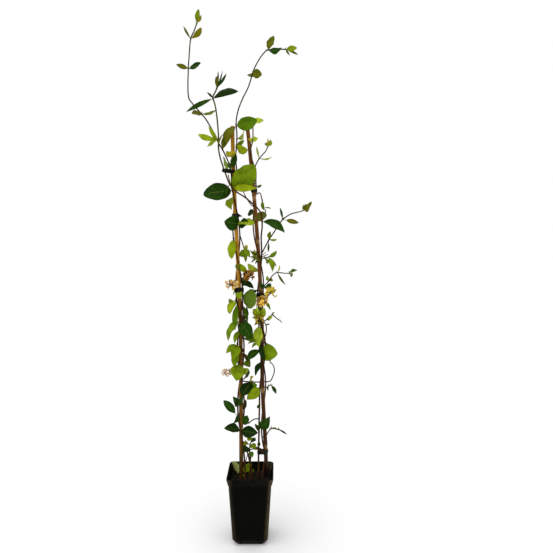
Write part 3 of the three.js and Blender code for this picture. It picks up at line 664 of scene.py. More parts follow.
def crumbs_tree():
    tree, given, result = geometry_tree("compost_crumbs", CRUMB_SIZES)
    seed, density = given.outputs["Seed"], given.outputs["Crumbs per square metre"]
    inputs = {"Mesh": given.outputs["Geometry"], "Density": density, "Seed": seed}
    spots = add_node(tree, "GeometryNodeDistributePointsOnFaces", inputs)

    def drawn(stream, low, high):
        """A random value between low and high for each crumb, from one of several streams."""
        kind = "FLOAT_VECTOR" if isinstance(low, tuple) else "FLOAT"
        shift = add_node(tree, "ShaderNodeMath", {0: seed, 1: float(stream)}).outputs[0]
        node = add_node(tree, "FunctionNodeRandomValue", {"Seed": shift}, data_type=kind)
        least, most = [socket for socket in node.inputs if socket.enabled][:2]
        least.default_value, most.default_value = low, high
        return next(socket for socket in node.outputs if socket.enabled)

    ball = add_node(tree, "GeometryNodeMeshIcoSphere", {"Radius": 1.0, "Subdivisions": 1})
    rank = Number(drawn(1, 0.0, 1.0)) ** LARGE_RARITY
    smallest, largest = Number(given.outputs["Smallest"]), Number(given.outputs["Largest"])
    size = smallest + rank * (largest - smallest)
    inputs = {
        "Points": spots.outputs["Points"],
        "Instance": ball.outputs["Mesh"],
        "Rotation": drawn(3, (0.0, 0.0, 0.0), (math.tau,) * 3),
        "Scale": stretched(drawn(2, (0.7, 0.7, 0.45), (1.9, 1.1, 0.9)), size),
    }
    placed = add_node(tree, "GeometryNodeInstanceOnPoints", inputs).outputs["Instances"]
    inputs = {"Geometry": placed, "Name": "shade", "Value": drawn(4, 0.0, 1.0)}
    shaded = add_node(tree, "GeometryNodeStoreNamedAttribute", inputs, domain="INSTANCE")
    solid = add_node(tree, "GeometryNodeRealizeInstances", {0: shaded.outputs["Geometry"]})
    inputs = {"Scale": 420.0, "Detail": 2.0}
    noise = add_node(tree, "ShaderNodeTexNoise", inputs).outputs["Color"]
    centred = add_node(tree, "ShaderNodeVectorMath", {0: noise, 1: (0.5,) * 3}, operation="SUBTRACT")
    push = stretched(centred.outputs[0], given.outputs["Roughness"])
    rough = add_node(tree, "GeometryNodeSetPosition", {"Geometry": solid.outputs[0], "Offset": push})
    return end_tree(tree, result, rough.outputs[0], COMPOST, smooth=False)


def crumb_ground():
    """The open top of the mix, which the crumbs are scattered over."""
    half = soil_width(SOIL_EDGE) / 2 - CRUMB_MARGIN
    mesh = bmesh.new()
    bmesh.ops.create_grid(mesh, x_segments=GROUND_STEPS, y_segments=GROUND_STEPS, size=half * MM)
    for vertex in mesh.verts:
        vertex.co.z = soil_height(vertex.co.x / MM, vertex.co.y / MM) * MM
    return linked("crumb_ground", mesh_from(mesh, "crumb_ground", COMPOST))


crumbs = grown(crumb_ground(), crumbs_tree())
piece_of("compost", joined([compost_mesh(), crumbs]), ["potting_mix"])

# %% [markdown]
# ## Rods that follow a line
# Canes and stems are the same kind of thing: a round rod that follows a line and changes its
# thickness on the way. Curve to Mesh does it in one node. The line is a chain of points with a
# thickness at each, and the tree also writes down, for the materials, which way is out of the rod.


# %% The rod tree
def rod_tree(name, finish):
    tree, given, result = geometry_tree(name, {"Sides": 12})
    line = add_node(tree, "GeometryNodeMeshToCurve", {"Mesh": given.outputs["Geometry"]})
    inputs = {"Resolution": given.outputs["Sides"], "Radius": 1.0}
    circle = add_node(tree, "GeometryNodeCurvePrimitiveCircle", inputs)
    place = add_node(tree, "GeometryNodeInputPosition").outputs[0]
    inputs = {"Geometry": circle.outputs["Curve"], "Name": "girth", "Value": place}
    marked = add_node(tree, "GeometryNodeStoreNamedAttribute", inputs, data_type="FLOAT_VECTOR")
    inputs = {
        "Curve": line.outputs["Curve"],
        "Profile Curve": marked.outputs[0],
        "Scale": field(tree, "thickness"),
        "Fill Caps": True,
    }
    rod = add_node(tree, "GeometryNodeCurveToMesh", inputs)
    return end_tree(tree, result, rod.outputs[0], finish)


def line_object(name, points, **attributes):
    """A chain of points in metres, each joined to the next, with values for every point."""
    made = point_object(name, points, **attributes)
    made.data.edges.add(len(points) - 1)
    for i, edge in enumerate(made.data.edges):
        edge.vertices = (i, i + 1)
    return made


print("rod tree ready")

# %% [markdown]
# ## The canes
# A bamboo cane is a straight culm with a raised ring at each knuckle, a thin waxy band under it, and
# fine fibres between. Both canes bow a little, and their tops lean towards each other. The upper end
# is sawn off, so the wall and the hollow inside show there. Lower down the culm gets painted shade:
# it is darker below 0.8 m, where the leaves shade it, and darker and bluer just above the compost.

# %% Cane lines and thickness
CANE_BOTTOM = 20
CANE_RADIUS = 6
KNUCKLES = [150, 330, 500, 655, 800, 935, 1060]
CANE_STEP = 2.5
CANE_WALL = 1.7
CANE_HOLLOW = 14


def left_cane(z):
    return Vector((-28 - 21 * smoothstep(z, 560, 1200), 2 - z / 300, z))


def right_cane(z):
    lean = 4 * smoothstep(z, 20, 200) - 11 * smoothstep(z, 200, 500)
    return Vector((41 + lean - 41 * max(0, (z - 600) / 600) ** 1.5, 10 - z / 240, z))


def cane_radius(z):
    return CANE_RADIUS * (1 - z / 15000)


def knuckle_profile(z, knuckles):
    """(how far the ring swells, how waxy it is) at a height: a ridge, a crease under it, a gentle
    swelling over it, and wax below the crease."""
    gap = min((z - knuckle for knuckle in knuckles), key=abs)
    swell = 0.75 * bell(gap, 2.2) - 0.45 * bell(gap + 4.5, 2) + 0.3 * bell(gap - 5, 4)
    return swell, bell(gap + 7, 7)


print("a cane's radius at its foot and at 1.2 m:", cane_radius(CANE_BOTTOM), cane_radius(1200))


# %% Bamboo
# painted shade, multiplied into the lower cane and into the part just above the compost
PAINTED_SHADE_LOW = (0.36, 0.32, 0.22, 1)
PAINTED_SHADE_AT_SOIL = (0.3, 0.34, 0.5, 1)


def bamboo(name, light, dark):
    material, tree, shader = principled(name, specular_ior_level=0.12)
    streaks = effect(tree, FIBRES, fineness=4, length=60)
    fine = effect(tree, FIBRES, fineness=11, length=40)
    patches = effect(tree, BLOTCHES, scale=18, detail=4)
    height = own_place(tree)[2]
    colour = blend_colours(tree, 0.25 + streaks * 0.45 + patches * 0.3, dark, light)
    # painted shade: darker below 0.8 m, where the leaves shade the cane, and darker and bluer just
    # above the compost
    colour = blend_colours(tree, ramp(height, 0.8, 0.62), colour, PAINTED_SHADE_LOW, "MULTIPLY")
    colour = blend_colours(tree, ramp(height, 0.33, 0.19), colour, PAINTED_SHADE_AT_SOIL, "MULTIPLY")
    ring = attribute(tree, "ring")
    colour = blend_colours(tree, ring * 0.75, colour, srgb(60, 32, 12))
    colour = blend_colours(tree, attribute(tree, "wax") * 0.4, colour, srgb(196, 160, 104))
    connect(tree, shader, colour, 0.5 - patches * 0.14 + ring * 0.2)
    relief(tree, shader, fine * 0.6 + streaks * 0.4, 0.0002)
    return material


def cane_mesh(name, line, top, knuckles, finish):
    count = round((top - CANE_BOTTOM) / CANE_STEP)
    heights = [CANE_BOTTOM + (top - CANE_BOTTOM) * i / count for i in range(count + 1)]
    profile = [knuckle_profile(z, knuckles) for z in heights]
    blank = line_object(
        name,
        [line(z) * MM for z in heights],
        thickness=[(cane_radius(z) + swell) * MM for z, (swell, _) in zip(heights, profile)],
        ring=[max(0, swell) for swell, _ in profile],
        wax=[wax for _, wax in profile],
    )
    mesh = grown(blank, rod_tree(name + "_rod", finish), sides=24)
    shape = bmesh.new()
    shape.from_mesh(mesh)
    cap = max(shape.faces, key=lambda face: face.calc_center_median().z)
    bmesh.ops.inset_region(shape, faces=[cap], thickness=CANE_WALL * MM)
    bore = bmesh.ops.extrude_face_region(shape, geom=[cap])["geom"]
    shape.faces.remove(cap)
    lowered = [item for item in bore if isinstance(item, bmesh.types.BMVert)]
    bmesh.ops.translate(shape, verts=lowered, vec=(0, 0, -CANE_HOLLOW * MM))
    shape.to_mesh(mesh)
    shape.free()
    return mesh


CANES = [
    # cane, its line, top, how much lower its knuckles are, light and dark colour
    ("cane_left", left_cane, 1200, 0, (204, 146, 36), (116, 72, 12)),
    ("cane_right", right_cane, 1195, 55, (132, 80, 26), (66, 34, 10)),
]
for cane_name, line, top, drop, light, dark in CANES:
    finish = bamboo(cane_name.replace("cane", "bamboo"), srgb(*light), srgb(*dark))
    mesh = cane_mesh(cane_name, line, top, [z - drop for z in KNUCKLES], finish)
    piece_of("bamboo_" + cane_name, mesh, [cane_name], crease=40)

# %% [markdown]
# ## The stems
# A twining stem climbs by winding round its support, here clockwise seen from above. Each stem is a
# smooth line through a few points; where it winds, the points come from the cane's own line. A side
# shoot starts on its parent, a given distance along it. The leaves of a stem are rows of readings:
# place along the stem, the way the blade points, its size, its roll, its form and its green, which
# holds the leaf's own green together with painted light and shade.


# %% Smooth lines
class Line:
    """A smooth line through some points in millimetres, which can be measured along."""

    SAMPLES = 24

    def __init__(self, points):
        points = [Vector(point) for point in points]
        guides = [points[0] * 2 - points[1], *points, points[-1] * 2 - points[-2]]
        self.points = []
        for p, q, r, s in zip(guides, guides[1:], guides[2:], guides[3:]):
            for i in range(self.SAMPLES):
                t = i / self.SAMPLES
                bend = (2 * p - 5 * q + 4 * r - s) * t * t + (3 * q - p - 3 * r + s) * t ** 3
                self.points.append(q + ((r - p) * t + bend) / 2)
        self.points.append(points[-1])
        self.reached = [0.0]
        for p, q in zip(self.points, self.points[1:]):
            self.reached.append(self.reached[-1] + (q - p).length)
        self.length = self.reached[-1]

    def at(self, distance):
        i = min(max(1, bisect.bisect(self.reached, distance)), len(self.points) - 1)
        low, high = self.reached[i - 1], self.reached[i]
        share = min(1, max(0, (distance - low) / (high - low)))
        return self.points[i - 1].lerp(self.points[i], share)

    def at_height(self, z):
        i = next(i for i, point in enumerate(self.points) if point.z > z)
        low, high = self.points[i - 1], self.points[i]
        return low.lerp(high, (z - low.z) / (high.z - low.z))

    def spaced(self, step):
        count = max(2, round(self.length / step))
        return [self.length * i / count for i in range(count + 1)]


TWINE_RADIUS = 9.6
TWINE_STEP = 40


def twine(cane, start, end, angle, turn):
    """Points of a line that winds round a cane from one height to another, one round each `turn`."""
    steps = round((end - start) / TWINE_STEP)
    points = []
    for i in range(steps + 1):
        z = start + (end - start) * i / steps
        around = math.radians(angle - (z - start) / turn * 360)
        out = Vector((math.cos(around), math.sin(around), 0)) * TWINE_RADIUS
        points.append(cane(z) + out)
    return points


print("a stem winds", TWINE_RADIUS, "mm from the middle of its cane")

# %% Stems and leaves
Stem = namedtuple("Stem", "name radius path leaves parent at", defaults=(None, 0))

# a leaf: along, azimuth, pitch, length, width, roll, form, green
STEMS = [
    Stem(
        name="leader_left",
        radius=(2.1, 1.1),
        path=[
            (-15, -10, 150), (-16, -10, 185),
            *twine(left_cane, 230, 1010, angle=0, turn=338),
            (-52, -10, 1036), (-52, -11, 1061), (-58, -10, 1090), (-67, -8, 1113), (-77, -5, 1133),
            (-87, -1, 1150), (-108, 8, 1192), (-127, 14, 1224), (-140, 18, 1240), (-166, 24, 1270),
            (-179, 28, 1296), (-180, 38, 1371), (-178, 42, 1409), (-174, 48, 1462), (-164, 50, 1486),
            (-156, 52, 1510),
        ],
        leaves=[
            (174, -15, 0, 53, 34, 65, "flat", "night"),
            (174, -170, 15, 49, 30, -40, "folded", "night"),
            (214, 153, 41, 68, 24, -40, "petiole", "dark"),
            (224, -116, -36, 33, 18, -80, "arched", "dark"),
            (247, -113, 51, 46, 22, -115, "arched", "dark"),
            (250, -56, 48, 47, 15, 145, "hanging", "dark"),
            (359, 42, -44, 28, 22, 105, "arched", "fresh"),
            (369, 45, -7, 32, 23, 55, "arched", "grass"),
            (451, -25, -5, 41, 22, 30, "flat", "grass"),
            (475, -148, -55, 45, 19, -20, "hanging", "moss"),
            (501, -18, -51, 58, 40, 75, "hanging", "dark"),
            (504, 178, -56, 71, 35, -35, "arched", "moss"),
            (554, -148, -84, 78, 20, -35, "flat", "grass"),
            (554, 142, 17, 37, 17, -95, "hanging", "moss"),
            (571, -120, -48, 56, 31, 10, "petiole", "lime"),
            (571, -27, 45, 26, 19, 115, "hanging", "lime"),
            (610, 134, -68, 37, 7, 55, "hanging", "fresh"),
            (692, 39, 29, 33, 22, 80, "arched", "lime"),
            (785, -134, 6, 53, 43, -105, "round", "dark"),
            (785, -41, 3, 40, 32, 70, "flat", "dark"),
            (791, -42, -8, 60, 42, 25, "round", "lime"),
            (865, -100, -60, 45, 34, 35, "hanging", "moss"),
            (882, -170, -8, 83, 54, -70, "round", "dark"),
            (887, -8, 43, 93, 71, 130, "round", "moss"),
            (889, -12, -1, 73, 21, 95, "arched", "lime"),
            (951, 117, 31, 60, 36, -110, "flat", "moss"),
            (957, -78, -29, 45, 12, 15, "arched", "dark"),
            (1003, 60, 71, 51, 17, 30, "flat", "olive"),
            (1033, -155, 55, 48, 12, -115, "arched", "lime"),
            (1037, 164, 18, 63, 17, -105, "hanging", "lime"),
            (1037, 130, -6, 48, 38, -60, "round", "lime"),
            (1129, -137, -8, 34, 27, -45, "flat", "olive"),
            (1129, 15, 20, 49, 17, 160, "narrow", "moss"),
            (1279, -175, 18, 37, 14, -105, "flat", "olive"),
            (1279, -40, 7, 51, 19, 85, "cupped", "dark"),
            (1368, -175, 60, 42, 7, -110, "narrow", "olive"),
            (1368, 20, 49, 50, 17, 115, "hanging", "bronze"),
            (1419, -15, 82, 40, 15, 95, "flat", "moss"),
            (1419, -61, 13, 37, 10, -180, "narrow", "bronze"),
        ],
    ),
    Stem(
        name="leader_middle",
        radius=(2.1, 1),
        path=[
            (4, 6, 150), (3, 7, 185), (-4, 10, 225), (-14, 13, 262),
            *twine(left_cane, 300, 1110, angle=105, turn=338),
            (-37, -10, 1143), (-36, -10, 1174), (-38, -9, 1210), (-32, -10, 1243), (-19, -14, 1274),
            (-4, -20, 1301), (5, -26, 1324), (14, -30, 1350), (28, -32, 1375), (41, -33, 1392),
            (51, -33, 1400), (72, -31, 1403), (102, -28, 1404),
        ],
        leaves=[
            (194, 55, 40, 30, 22, 10, "flat", "dark"),
            (232, 80, 50, 38, 17, -25, "flat", "dark"),
            (328, -43, 49, 50, 23, -170, "flat", "night"),
            (379, -95, -48, 54, 43, -15, "flat", "moss"),
            (434, -165, -34, 41, 22, -45, "arched", "moss"),
            (434, -110, -47, 54, 29, -30, "hanging", "moss"),
            (502, 49, 58, 53, 18, 95, "hanging", "dark"),
            (502, 60, -6, 43, 34, 40, "flat", "dark"),
            (581, -45, -18, 61, 57, -95, "round", "green"),
            (605, 20, 60, 45, 33, 25, "flat", "night"),
            (622, -25, -25, 43, 22, 35, "flat", "night"),
            (677, 10, -47, 40, 18, 105, "hanging", "lime"),
            (746, -128, -79, 57, 26, -20, "round", "lime"),
            (988, -118, 1, 49, 27, -150, "flat", "gold"),
            (991, -112, -71, 45, 23, 10, "flat", "dark"),
            (1007, -30, -16, 38, 30, 125, "round", "lime"),
            (1012, -5, 36, 28, 12, 105, "narrow", "moss"),
            (1032, 66, 36, 51, 20, 110, "arched", "fresh"),
            (1068, -7, 14, 61, 39, 120, "round", "grass"),
            (1068, -178, -62, 64, 32, -60, "hanging", "olive"),
            (1220, -34, -17, 32, 25, 100, "round", "olive"),
            (1220, 112, 2, 33, 18, -170, "round", "olive"),
            (1296, -15, 64, 41, 23, 80, "flat", "olive"),
            (1296, -10, 4, 39, 22, 155, "arched", "dark"),
            (1347, 5, 9, 32, 15, 105, "arched", "lime"),
            (1347, -53, -51, 29, 6, 70, "narrow", "green"),
            (1347, 38, -6, 46, 7, 105, "narrow", "olive"),
        ],
    ),
    Stem(
        name="leader_crossing",
        radius=(2.3, 1.3),
        path=[
            (23, 2, 150), (23, 2, 185), (23, 1, 230), (24, 1, 290), (25, 3, 350), (26, 6, 395),
            *twine(right_cane, 432, 842, angle=165, turn=287),
            (32, -2, 886), (35, -8, 917), (33, -16, 948), (24, -20, 965), (8, -25, 980),
            (-14, -25, 998), (-37, -25, 1013), (-56, -26, 1035), (-66, -26, 1060), (-75, -24, 1085),
            (-83, -22, 1111), (-87, -21, 1136), (-87, -21, 1170), (-90, -23, 1214), (-95, -26, 1251),
            (-101, -28, 1273), (-94, -29, 1288), (-88, -30, 1301),
        ],
        leaves=[
            (166, 160, 60, 26, 14, -20, "flat", "dark"),
            (176, -25, 48, 53, 31, 115, "hanging", "dark"),
            (245, -139, -44, 13, 9, -55, "flat", "dark"),
            (296, -155, -38, 52, 33, -70, "flat", "lime"),
            (422, 60, 0, 26, 30, 25, "flat", "moss"),
            (506, -35, 65, 35, 20, 125, "flat", "fresh"),
            (590, 135, -50, 39, 24, -60, "arched", "dark"),
            (645, 151, 26, 49, 21, -100, "hanging", "fresh"),
            (792, -21, -25, 76, 34, 40, "folded", "dark"),
            (810, 155, -45, 37, 24, -40, "arched", "olive"),
            (935, -130, -70, 38, 26, 20, "arched", "dark"),
            (1049, -58, 48, 39, 6, 115, "narrow", "olive"),
            (1179, -10, 13, 74, 21, 40, "oblong", "night"),
            (1179, -179, -26, 85, 14, -90, "narrow", "dark"),
            (1179, -155, 41, 24, 7, -85, "narrow", "night"),
            (1211, -105, 80, 31, 11, -155, "arched", "olive"),
            (1211, 81, 75, 54, 5, 25, "narrow", "night"),
            (1211, -65, 34, 57, 5, 175, "narrow", "dark"),
            (1211, 24, 57, 52, 8, 100, "narrow", "dark"),
        ],
    ),
    Stem(
        name="leader_right",
        radius=(2, 1),
        path=[
            (34, -7, 150), (34, -7, 185), (38, -4, 215),
            *twine(right_cane, 245, 1125, angle=264, turn=298),
            (8, -1, 1160), (9, 3, 1190), (7, 5, 1212),
        ],
        leaves=[
            (182, 60, 5, 47, 22, -25, "arched", "night"),
            (382, -150, -57, 47, 20, -20, "arched", "night"),
            (412, -36, -1, 58, 48, 75, "round", "moss"),
            (416, -161, -35, 53, 27, -35, "arched", "dark"),
            (436, 160, -35, 32, 12, -50, "hanging", "lime"),
            (439, 155, -15, 42, 11, -45, "hanging", "moss"),
            (487, -91, -64, 64, 42, 40, "flat", "fresh"),
            (507, 140, 50, 37, 24, -30, "flat", "fresh"),
            (565, -15, -50, 41, 12, 35, "narrow", "moss"),
            (599, 49, -9, 39, 26, 70, "hanging", "dark"),
            (599, -110, 28, 36, 14, -135, "hanging", "dark"),
            (677, -126, 34, 53, 8, -130, "narrow", "olive"),
            (687, -160, 0, 25, 10, -15, "narrow", "dark"),
            (698, -119, 30, 28, 17, 165, "narrow", "gold"),
            (817, 54, -4, 61, 35, 125, "round", "olive"),
            (821, 130, 8, 28, 23, -65, "round", "dark"),
            (898, 7, 18, 18, 14, 150, "narrow", "green"),
            (898, 130, 30, 52, 26, 45, "arched", "moss"),
            (1027, -131, 22, 17, 11, -105, "flat", "gold"),
            (1033, -45, 0, 21, 15, 100, "flat", "fresh"),
            (1083, 10, 14, 34, 23, 55, "flat", "fresh"),
        ],
    ),
    Stem(
        name="basal_shoot",
        radius=(1.6, 0.9),
        path=[
            (-1, -14, 150), (-1, -14, 190), (0, -18, 236), (-2, -20, 263), (-1, -22, 285),
            (5, -24, 300),
        ],
        leaves=[
            (115, -166, 53, 27, 20, -115, "arched", "night"),
            (115, -51, -37, 19, 15, 15, "arched", "green"),
            (135, -45, -5, 28, 20, 25, "arched", "moss"),
            (135, -133, 17, 28, 22, -15, "hanging", "olive"),
            (152, -50, 15, 20, 16, 45, "flat", "night"),
            (152, 150, 10, 17, 16, -30, "flat", "lime"),
        ],
    ),
    Stem(
        name="arching_shoot",
        parent="leader_crossing",
        at=204,
        radius=(1.3, 0.9),
        path=[
            (12, -6, 356), (2, -12, 352), (-5, -16, 346),
        ],
        leaves=[
            (39, -150, 45, 30, 24, -85, "flat", "dark"),
        ],
    ),
    Stem(
        name="curling_shoot_low",
        parent="leader_right",
        at=151,
        radius=(1.2, 0.8),
        path=[
            (43, -3, 303), (54, -4, 320), (61, -9, 329), (83, -18, 329), (89, -20, 327),
        ],
        leaves=[
            (45, -44, 10, 30, 8, 30, "narrow", "olive"),
            (70, -14, -26, 28, 6, 45, "narrow", "dark"),
        ],
    ),
    Stem(
        name="looping_shoot",
        parent="leader_middle",
        at=328,
        radius=(1.4, 0.8),
        path=[
            (-1, -14, 468), (17, -16, 468), (40, -16, 469), (57, -14, 470), (66, -12, 485),
            (70, -10, 502), (66, -9, 516), (57, -8, 525),
        ],
        leaves=[
            (25, -60, 45, 30, 18, 70, "flat", "gold"),
            (27, 30, -41, 26, 20, 120, "hanging", "grass"),
            (30, -132, -41, 52, 42, -10, "flat", "night"),
            (147, 110, 25, 19, 8, 10, "narrow", "green"),
        ],
    ),
    Stem(
        name="crinkled_shoot",
        parent="leader_right",
        at=300,
        radius=(1.2, 0.8),
        path=[
            (48, -9, 450), (54, -12, 457), (60, -15, 459),
        ],
        leaves=[
            (30, -95, -60, 15, 8, 45, "narrow", "dark"),
            (39, -16, -57, 30, 11, 55, "hanging", "dark"),
        ],
    ),
    Stem(
        name="side_shoot_low",
        parent="leader_crossing",
        at=495,
        radius=(1.2, 0.8),
        path=[
            (51, 0, 649), (63, -4, 661), (72, -8, 656), (82, -11, 648),
        ],
        leaves=[
            (19, -50, 20, 25, 15, 75, "flat", "fresh"),
            (40, 60, 30, 17, 8, -10, "narrow", "green"),
            (63, -20, -40, 14, 6, 15, "narrow", "green"),
        ],
    ),
    Stem(
        name="hooked_shoot",
        parent="leader_crossing",
        at=446,
        radius=(1.2, 0.8),
        path=[
            (46, -2, 611), (46, -3, 629), (41, -2, 640),
        ],
        leaves=[
            (40, -40, 15, 16, 7, 40, "narrow", "green"),
        ],
    ),
    Stem(
        name="side_shoot_middle",
        parent="leader_right",
        at=601,
        radius=(1.3, 0.8),
        path=[
            (42, 22, 746), (51, 27, 755), (63, 34, 772), (77, 40, 782), (98, 46, 780),
            (115, 50, 779),
        ],
        leaves=[
            (29, 149, 75, 17, 10, -80, "arched", "fresh"),
            (29, 63, 13, 27, 12, 60, "arched", "bronze"),
            (69, -15, -56, 45, 8, 105, "narrow", "olive"),
            (69, 67, 50, 30, 7, 70, "narrow", "gold"),
            (107, -10, 23, 26, 13, 50, "hanging", "green"),
            (107, 55, -33, 18, 13, 100, "arched", "olive"),
        ],
    ),
    Stem(
        name="side_shoot_short",
        parent="leader_right",
        at=684,
        radius=(1.3, 0.9),
        path=[
            (40, -14, 826), (52, -20, 828),
        ],
        leaves=[
            (20, -62, -44, 24, 19, -25, "arched", "moss"),
            (31, 8, 35, 32, 13, 105, "hanging", "moss"),
            (31, -25, -70, 43, 18, 35, "hanging", "moss"),
            (31, 17, -45, 38, 9, 55, "flat", "olive"),
        ],
    ),
    Stem(
        name="side_shoot_long",
        parent="leader_crossing",
        at=697,
        radius=(1.5, 0.8),
        path=[
            (49, 2, 869), (54, -2, 878), (69, -10, 900), (87, -20, 927), (97, -25, 938),
            (117, -32, 950), (142, -40, 956), (153, -44, 960),
        ],
        leaves=[
            (45, -101, -83, 35, 6, -20, "petiole", "dark"),
            (48, -48, 77, 24, 14, 105, "narrow", "moss"),
            (48, 0, -1, 24, 9, 130, "narrow", "lime"),
            (119, 148, 76, 36, 7, -50, "narrow", "dark"),
            (119, -10, -12, 47, 14, 85, "petiole", "olive"),
            (188, -57, 20, 28, 22, 100, "round", "olive"),
            (188, 12, 47, 33, 11, 105, "petiole", "olive"),
            (188, 90, 45, 26, 11, -60, "narrow", "olive"),
        ],
    ),
    Stem(
        name="drooping_shoot",
        parent="leader_left",
        at=755,
        radius=(1.2, 0.8),
        path=[
            (-24, -12, 877), (-19, -14, 862), (-16, -15, 852),
        ],
        leaves=[
            (46, 49, -79, 42, 12, 120, "flat", "moss"),
            (48, 53, 32, 18, 14, 90, "flat", "gold"),
            (48, -20, -53, 29, 17, 65, "arched", "moss"),
        ],
    ),
    Stem(
        name="side_shoot_hanging",
        parent="leader_right",
        at=875,
        radius=(1.2, 0.8),
        path=[
            (28, 20, 1014), (34, 24, 994), (39, 27, 971),
        ],
        leaves=[
            (39, -64, -72, 30, 11, 45, "narrow", "moss"),
            (61, -15, -5, 23, 9, 30, "narrow", "green"),
            (61, 50, -60, 19, 8, 75, "narrow", "green"),
        ],
    ),
    Stem(
        name="tip_shoot",
        parent="leader_right",
        at=949,
        radius=(1.3, 0.8),
        path=[
            (15, 13, 1091), (26, 15, 1112), (43, 20, 1132), (51, 22, 1147),
        ],
        leaves=[
            (40, -163, 77, 36, 6, -115, "narrow", "lime"),
            (40, -10, 5, 38, 17, 175, "narrow", "lime"),
            (84, 111, 38, 27, 11, -20, "flat", "moss"),
            (84, 44, 63, 25, 13, 80, "hanging", "lime"),
            (84, -88, 32, 37, 6, 175, "narrow", "gold"),
        ],
    ),
]
print("stems:", len(STEMS), "leaves:", sum(len(stem.leaves) for stem in STEMS))

# %% Forms, greens and the stems' lines
FORMS = {
    # bow, fold, stalk, waist, blunt: shares of the blade's length or half-width, and powers
    "flat": (0.06, 0.12, 0.06, 0.85, 0.85),
    "arched": (0.15, 0.16, 0.06, 0.85, 0.85),
    "hanging": (0.22, 0.2, 0.05, 0.9, 0.9),
    "folded": (0.08, 0.5, 0.07, 0.9, 0.8),
    "cupped": (-0.1, 0.3, 0.05, 1.0, 0.8),
    "round": (0.05, 0.1, 0.05, 0.9, 0.62),
    "oblong": (0.16, 0.15, 0.06, 1.15, 0.5),
    "narrow": (0.08, 0.2, 0.06, 0.9, 0.9),
    "petiole": (0.06, 0.12, 0.24, 0.9, 0.75),
}
# The greens are the leaves' own greens with painted light and shade in them: the darkest also paint
# the shade deep among the leaves and low down, and the palest also paint light shining through thin
# blades.
GREENS = {
    "night": srgb(8, 40, 2),
    "dark": srgb(26, 62, 3),
    "green": srgb(64, 100, 6),
    "grass": srgb(84, 120, 4),
    "olive": srgb(92, 94, 8),
    "bronze": srgb(126, 118, 6),
    "moss": srgb(106, 132, 8),
    "lime": srgb(142, 162, 18),
    "fresh": srgb(174, 196, 56),
    "gold": srgb(168, 164, 42),
    "pale": srgb(180, 188, 112),
}
lines = {}
for stem in STEMS:
    start = [lines[stem.parent].at(stem.at)] if stem.parent else []
    lines[stem.name] = Line(start + stem.path)
print("forms:", len(FORMS), "greens:", len(GREENS), "lines:", len(lines))

# %% [markdown]
# ## Bark
# Young honeysuckle stems are green or wine-red and smooth. Lower down the bark turns brown and peels
# in thin strips. Each stem swells a little where a pair of leaves grows. The rod tree makes the
# shape, and the colour follows how young the wood is, an attribute that goes from 0 at the root to 1
# at the tip.

# %% Bark finish and bark rods
NODE_SWELL = 0.55
NODE_REACH = 3.0
BARK_DEPTH = 0.4
SKIN_DEPTH = 0.35  # soft green skin of the youngest wood, added in proportion to its youth
SHOOT_YOUTH = 0.35  # how young a side shoot is where it leaves its parent


def bark_finish():
    material, tree, shader = principled("bark", specular_ior_level=0.08)
    youth = attribute(tree, "youth")
    strips = effect(tree, FIBRES, fineness=2.2, length=70)
    patches = effect(tree, BLOTCHES, scale=55, detail=3)
    old = blend_colours(tree, strips, srgb(34, 16, 6), srgb(90, 56, 26))
    wine = blend_colours(tree, patches, srgb(50, 22, 8), srgb(76, 48, 14))
    fresh = blend_colours(tree, patches, srgb(52, 44, 12), srgb(74, 80, 20))
    colour = blend_colours(tree, ramp(youth, 0.1, 0.45), old, wine)
    colour = blend_colours(tree, ramp(youth, 0.72, 1.0), colour, fresh)
    connect(tree, shader, colour, 0.72 - youth * 0.25)
    relief(tree, shader, strips * ramp(youth, 0.8, 0.2), 0.0004)
    return material


BARK_RODS = rod_tree("bark_rod", bark_finish())


def bark_mesh(stem):
    """A stem's rod, with a swelling at each place where leaves grow."""
    line = lines[stem.name]
    root, tip = stem.radius
    nodes = sorted({leaf[0] for leaf in stem.leaves})
    stations = line.spaced(3.0)
    first = SHOOT_YOUTH if stem.parent else 0.0
    youth = [first + (1 - first) * along / line.length for along in stations]
    thickness = []
    for along, young in zip(stations, youth):
        gap = min(abs(along - node) for node in nodes)
        plain = root + (tip - root) * along / line.length + BARK_DEPTH + SKIN_DEPTH * young
        thickness.append((plain + NODE_SWELL * bell(gap, NODE_REACH)) * MM)
    points = [line.at(along) * MM for along in stations]
    blank = line_object(stem.name, points, thickness=thickness, youth=youth)
    return grown(blank, BARK_RODS, sides=10)


def bare_rod(name, line, root, tip, youth):
    """A short rod of bark without leaves, as thick at its ends as the two radii."""
    stations = line.spaced(2)
    points = [line.at(along) * MM for along in stations]
    thickness = [(root + (tip - root) * along / line.length) * MM for along in stations]
    blank = line_object(name, points, thickness=thickness, youth=[youth] * len(points))
    return grown(blank, BARK_RODS, sides=8)


print("bark rods take their swellings from the leaves' places")

# %% [markdown]
# ## Leaves
# A blade is thin, closed and slightly thicker along its midrib. Its outline is one formula: the
# half-width goes up and down like a sine along the blade, and powers of it make the tip blunt or
# move the waist. The same formula then bows the blade, folds it along its midrib, ripples its margin
# and sinks the side veins. So all leaves are one small cushion of a grid, placed on a point for each
# leaf, and moved to its form by a Geometry Nodes tree that reads the form from the point.

# %% Leaf finish
VEIN_PAIRS = 6.5
VEIN_SWEEP, VEIN_CURL = 1.1, 0.9


def vein_count(along, across):
    """Goes up by one from vein to vein. The veins leave the midrib and curve to the tip."""
    return along * VEIN_PAIRS - across * (VEIN_SWEEP + across * VEIN_CURL)


def vein_line(along, across, share):
    """1 on a side vein and 0 between them."""
    distance = size_of(math_node("FRACT", vein_count(along, across) + 10) - 0.5)
    return ramp(distance, share, 0)


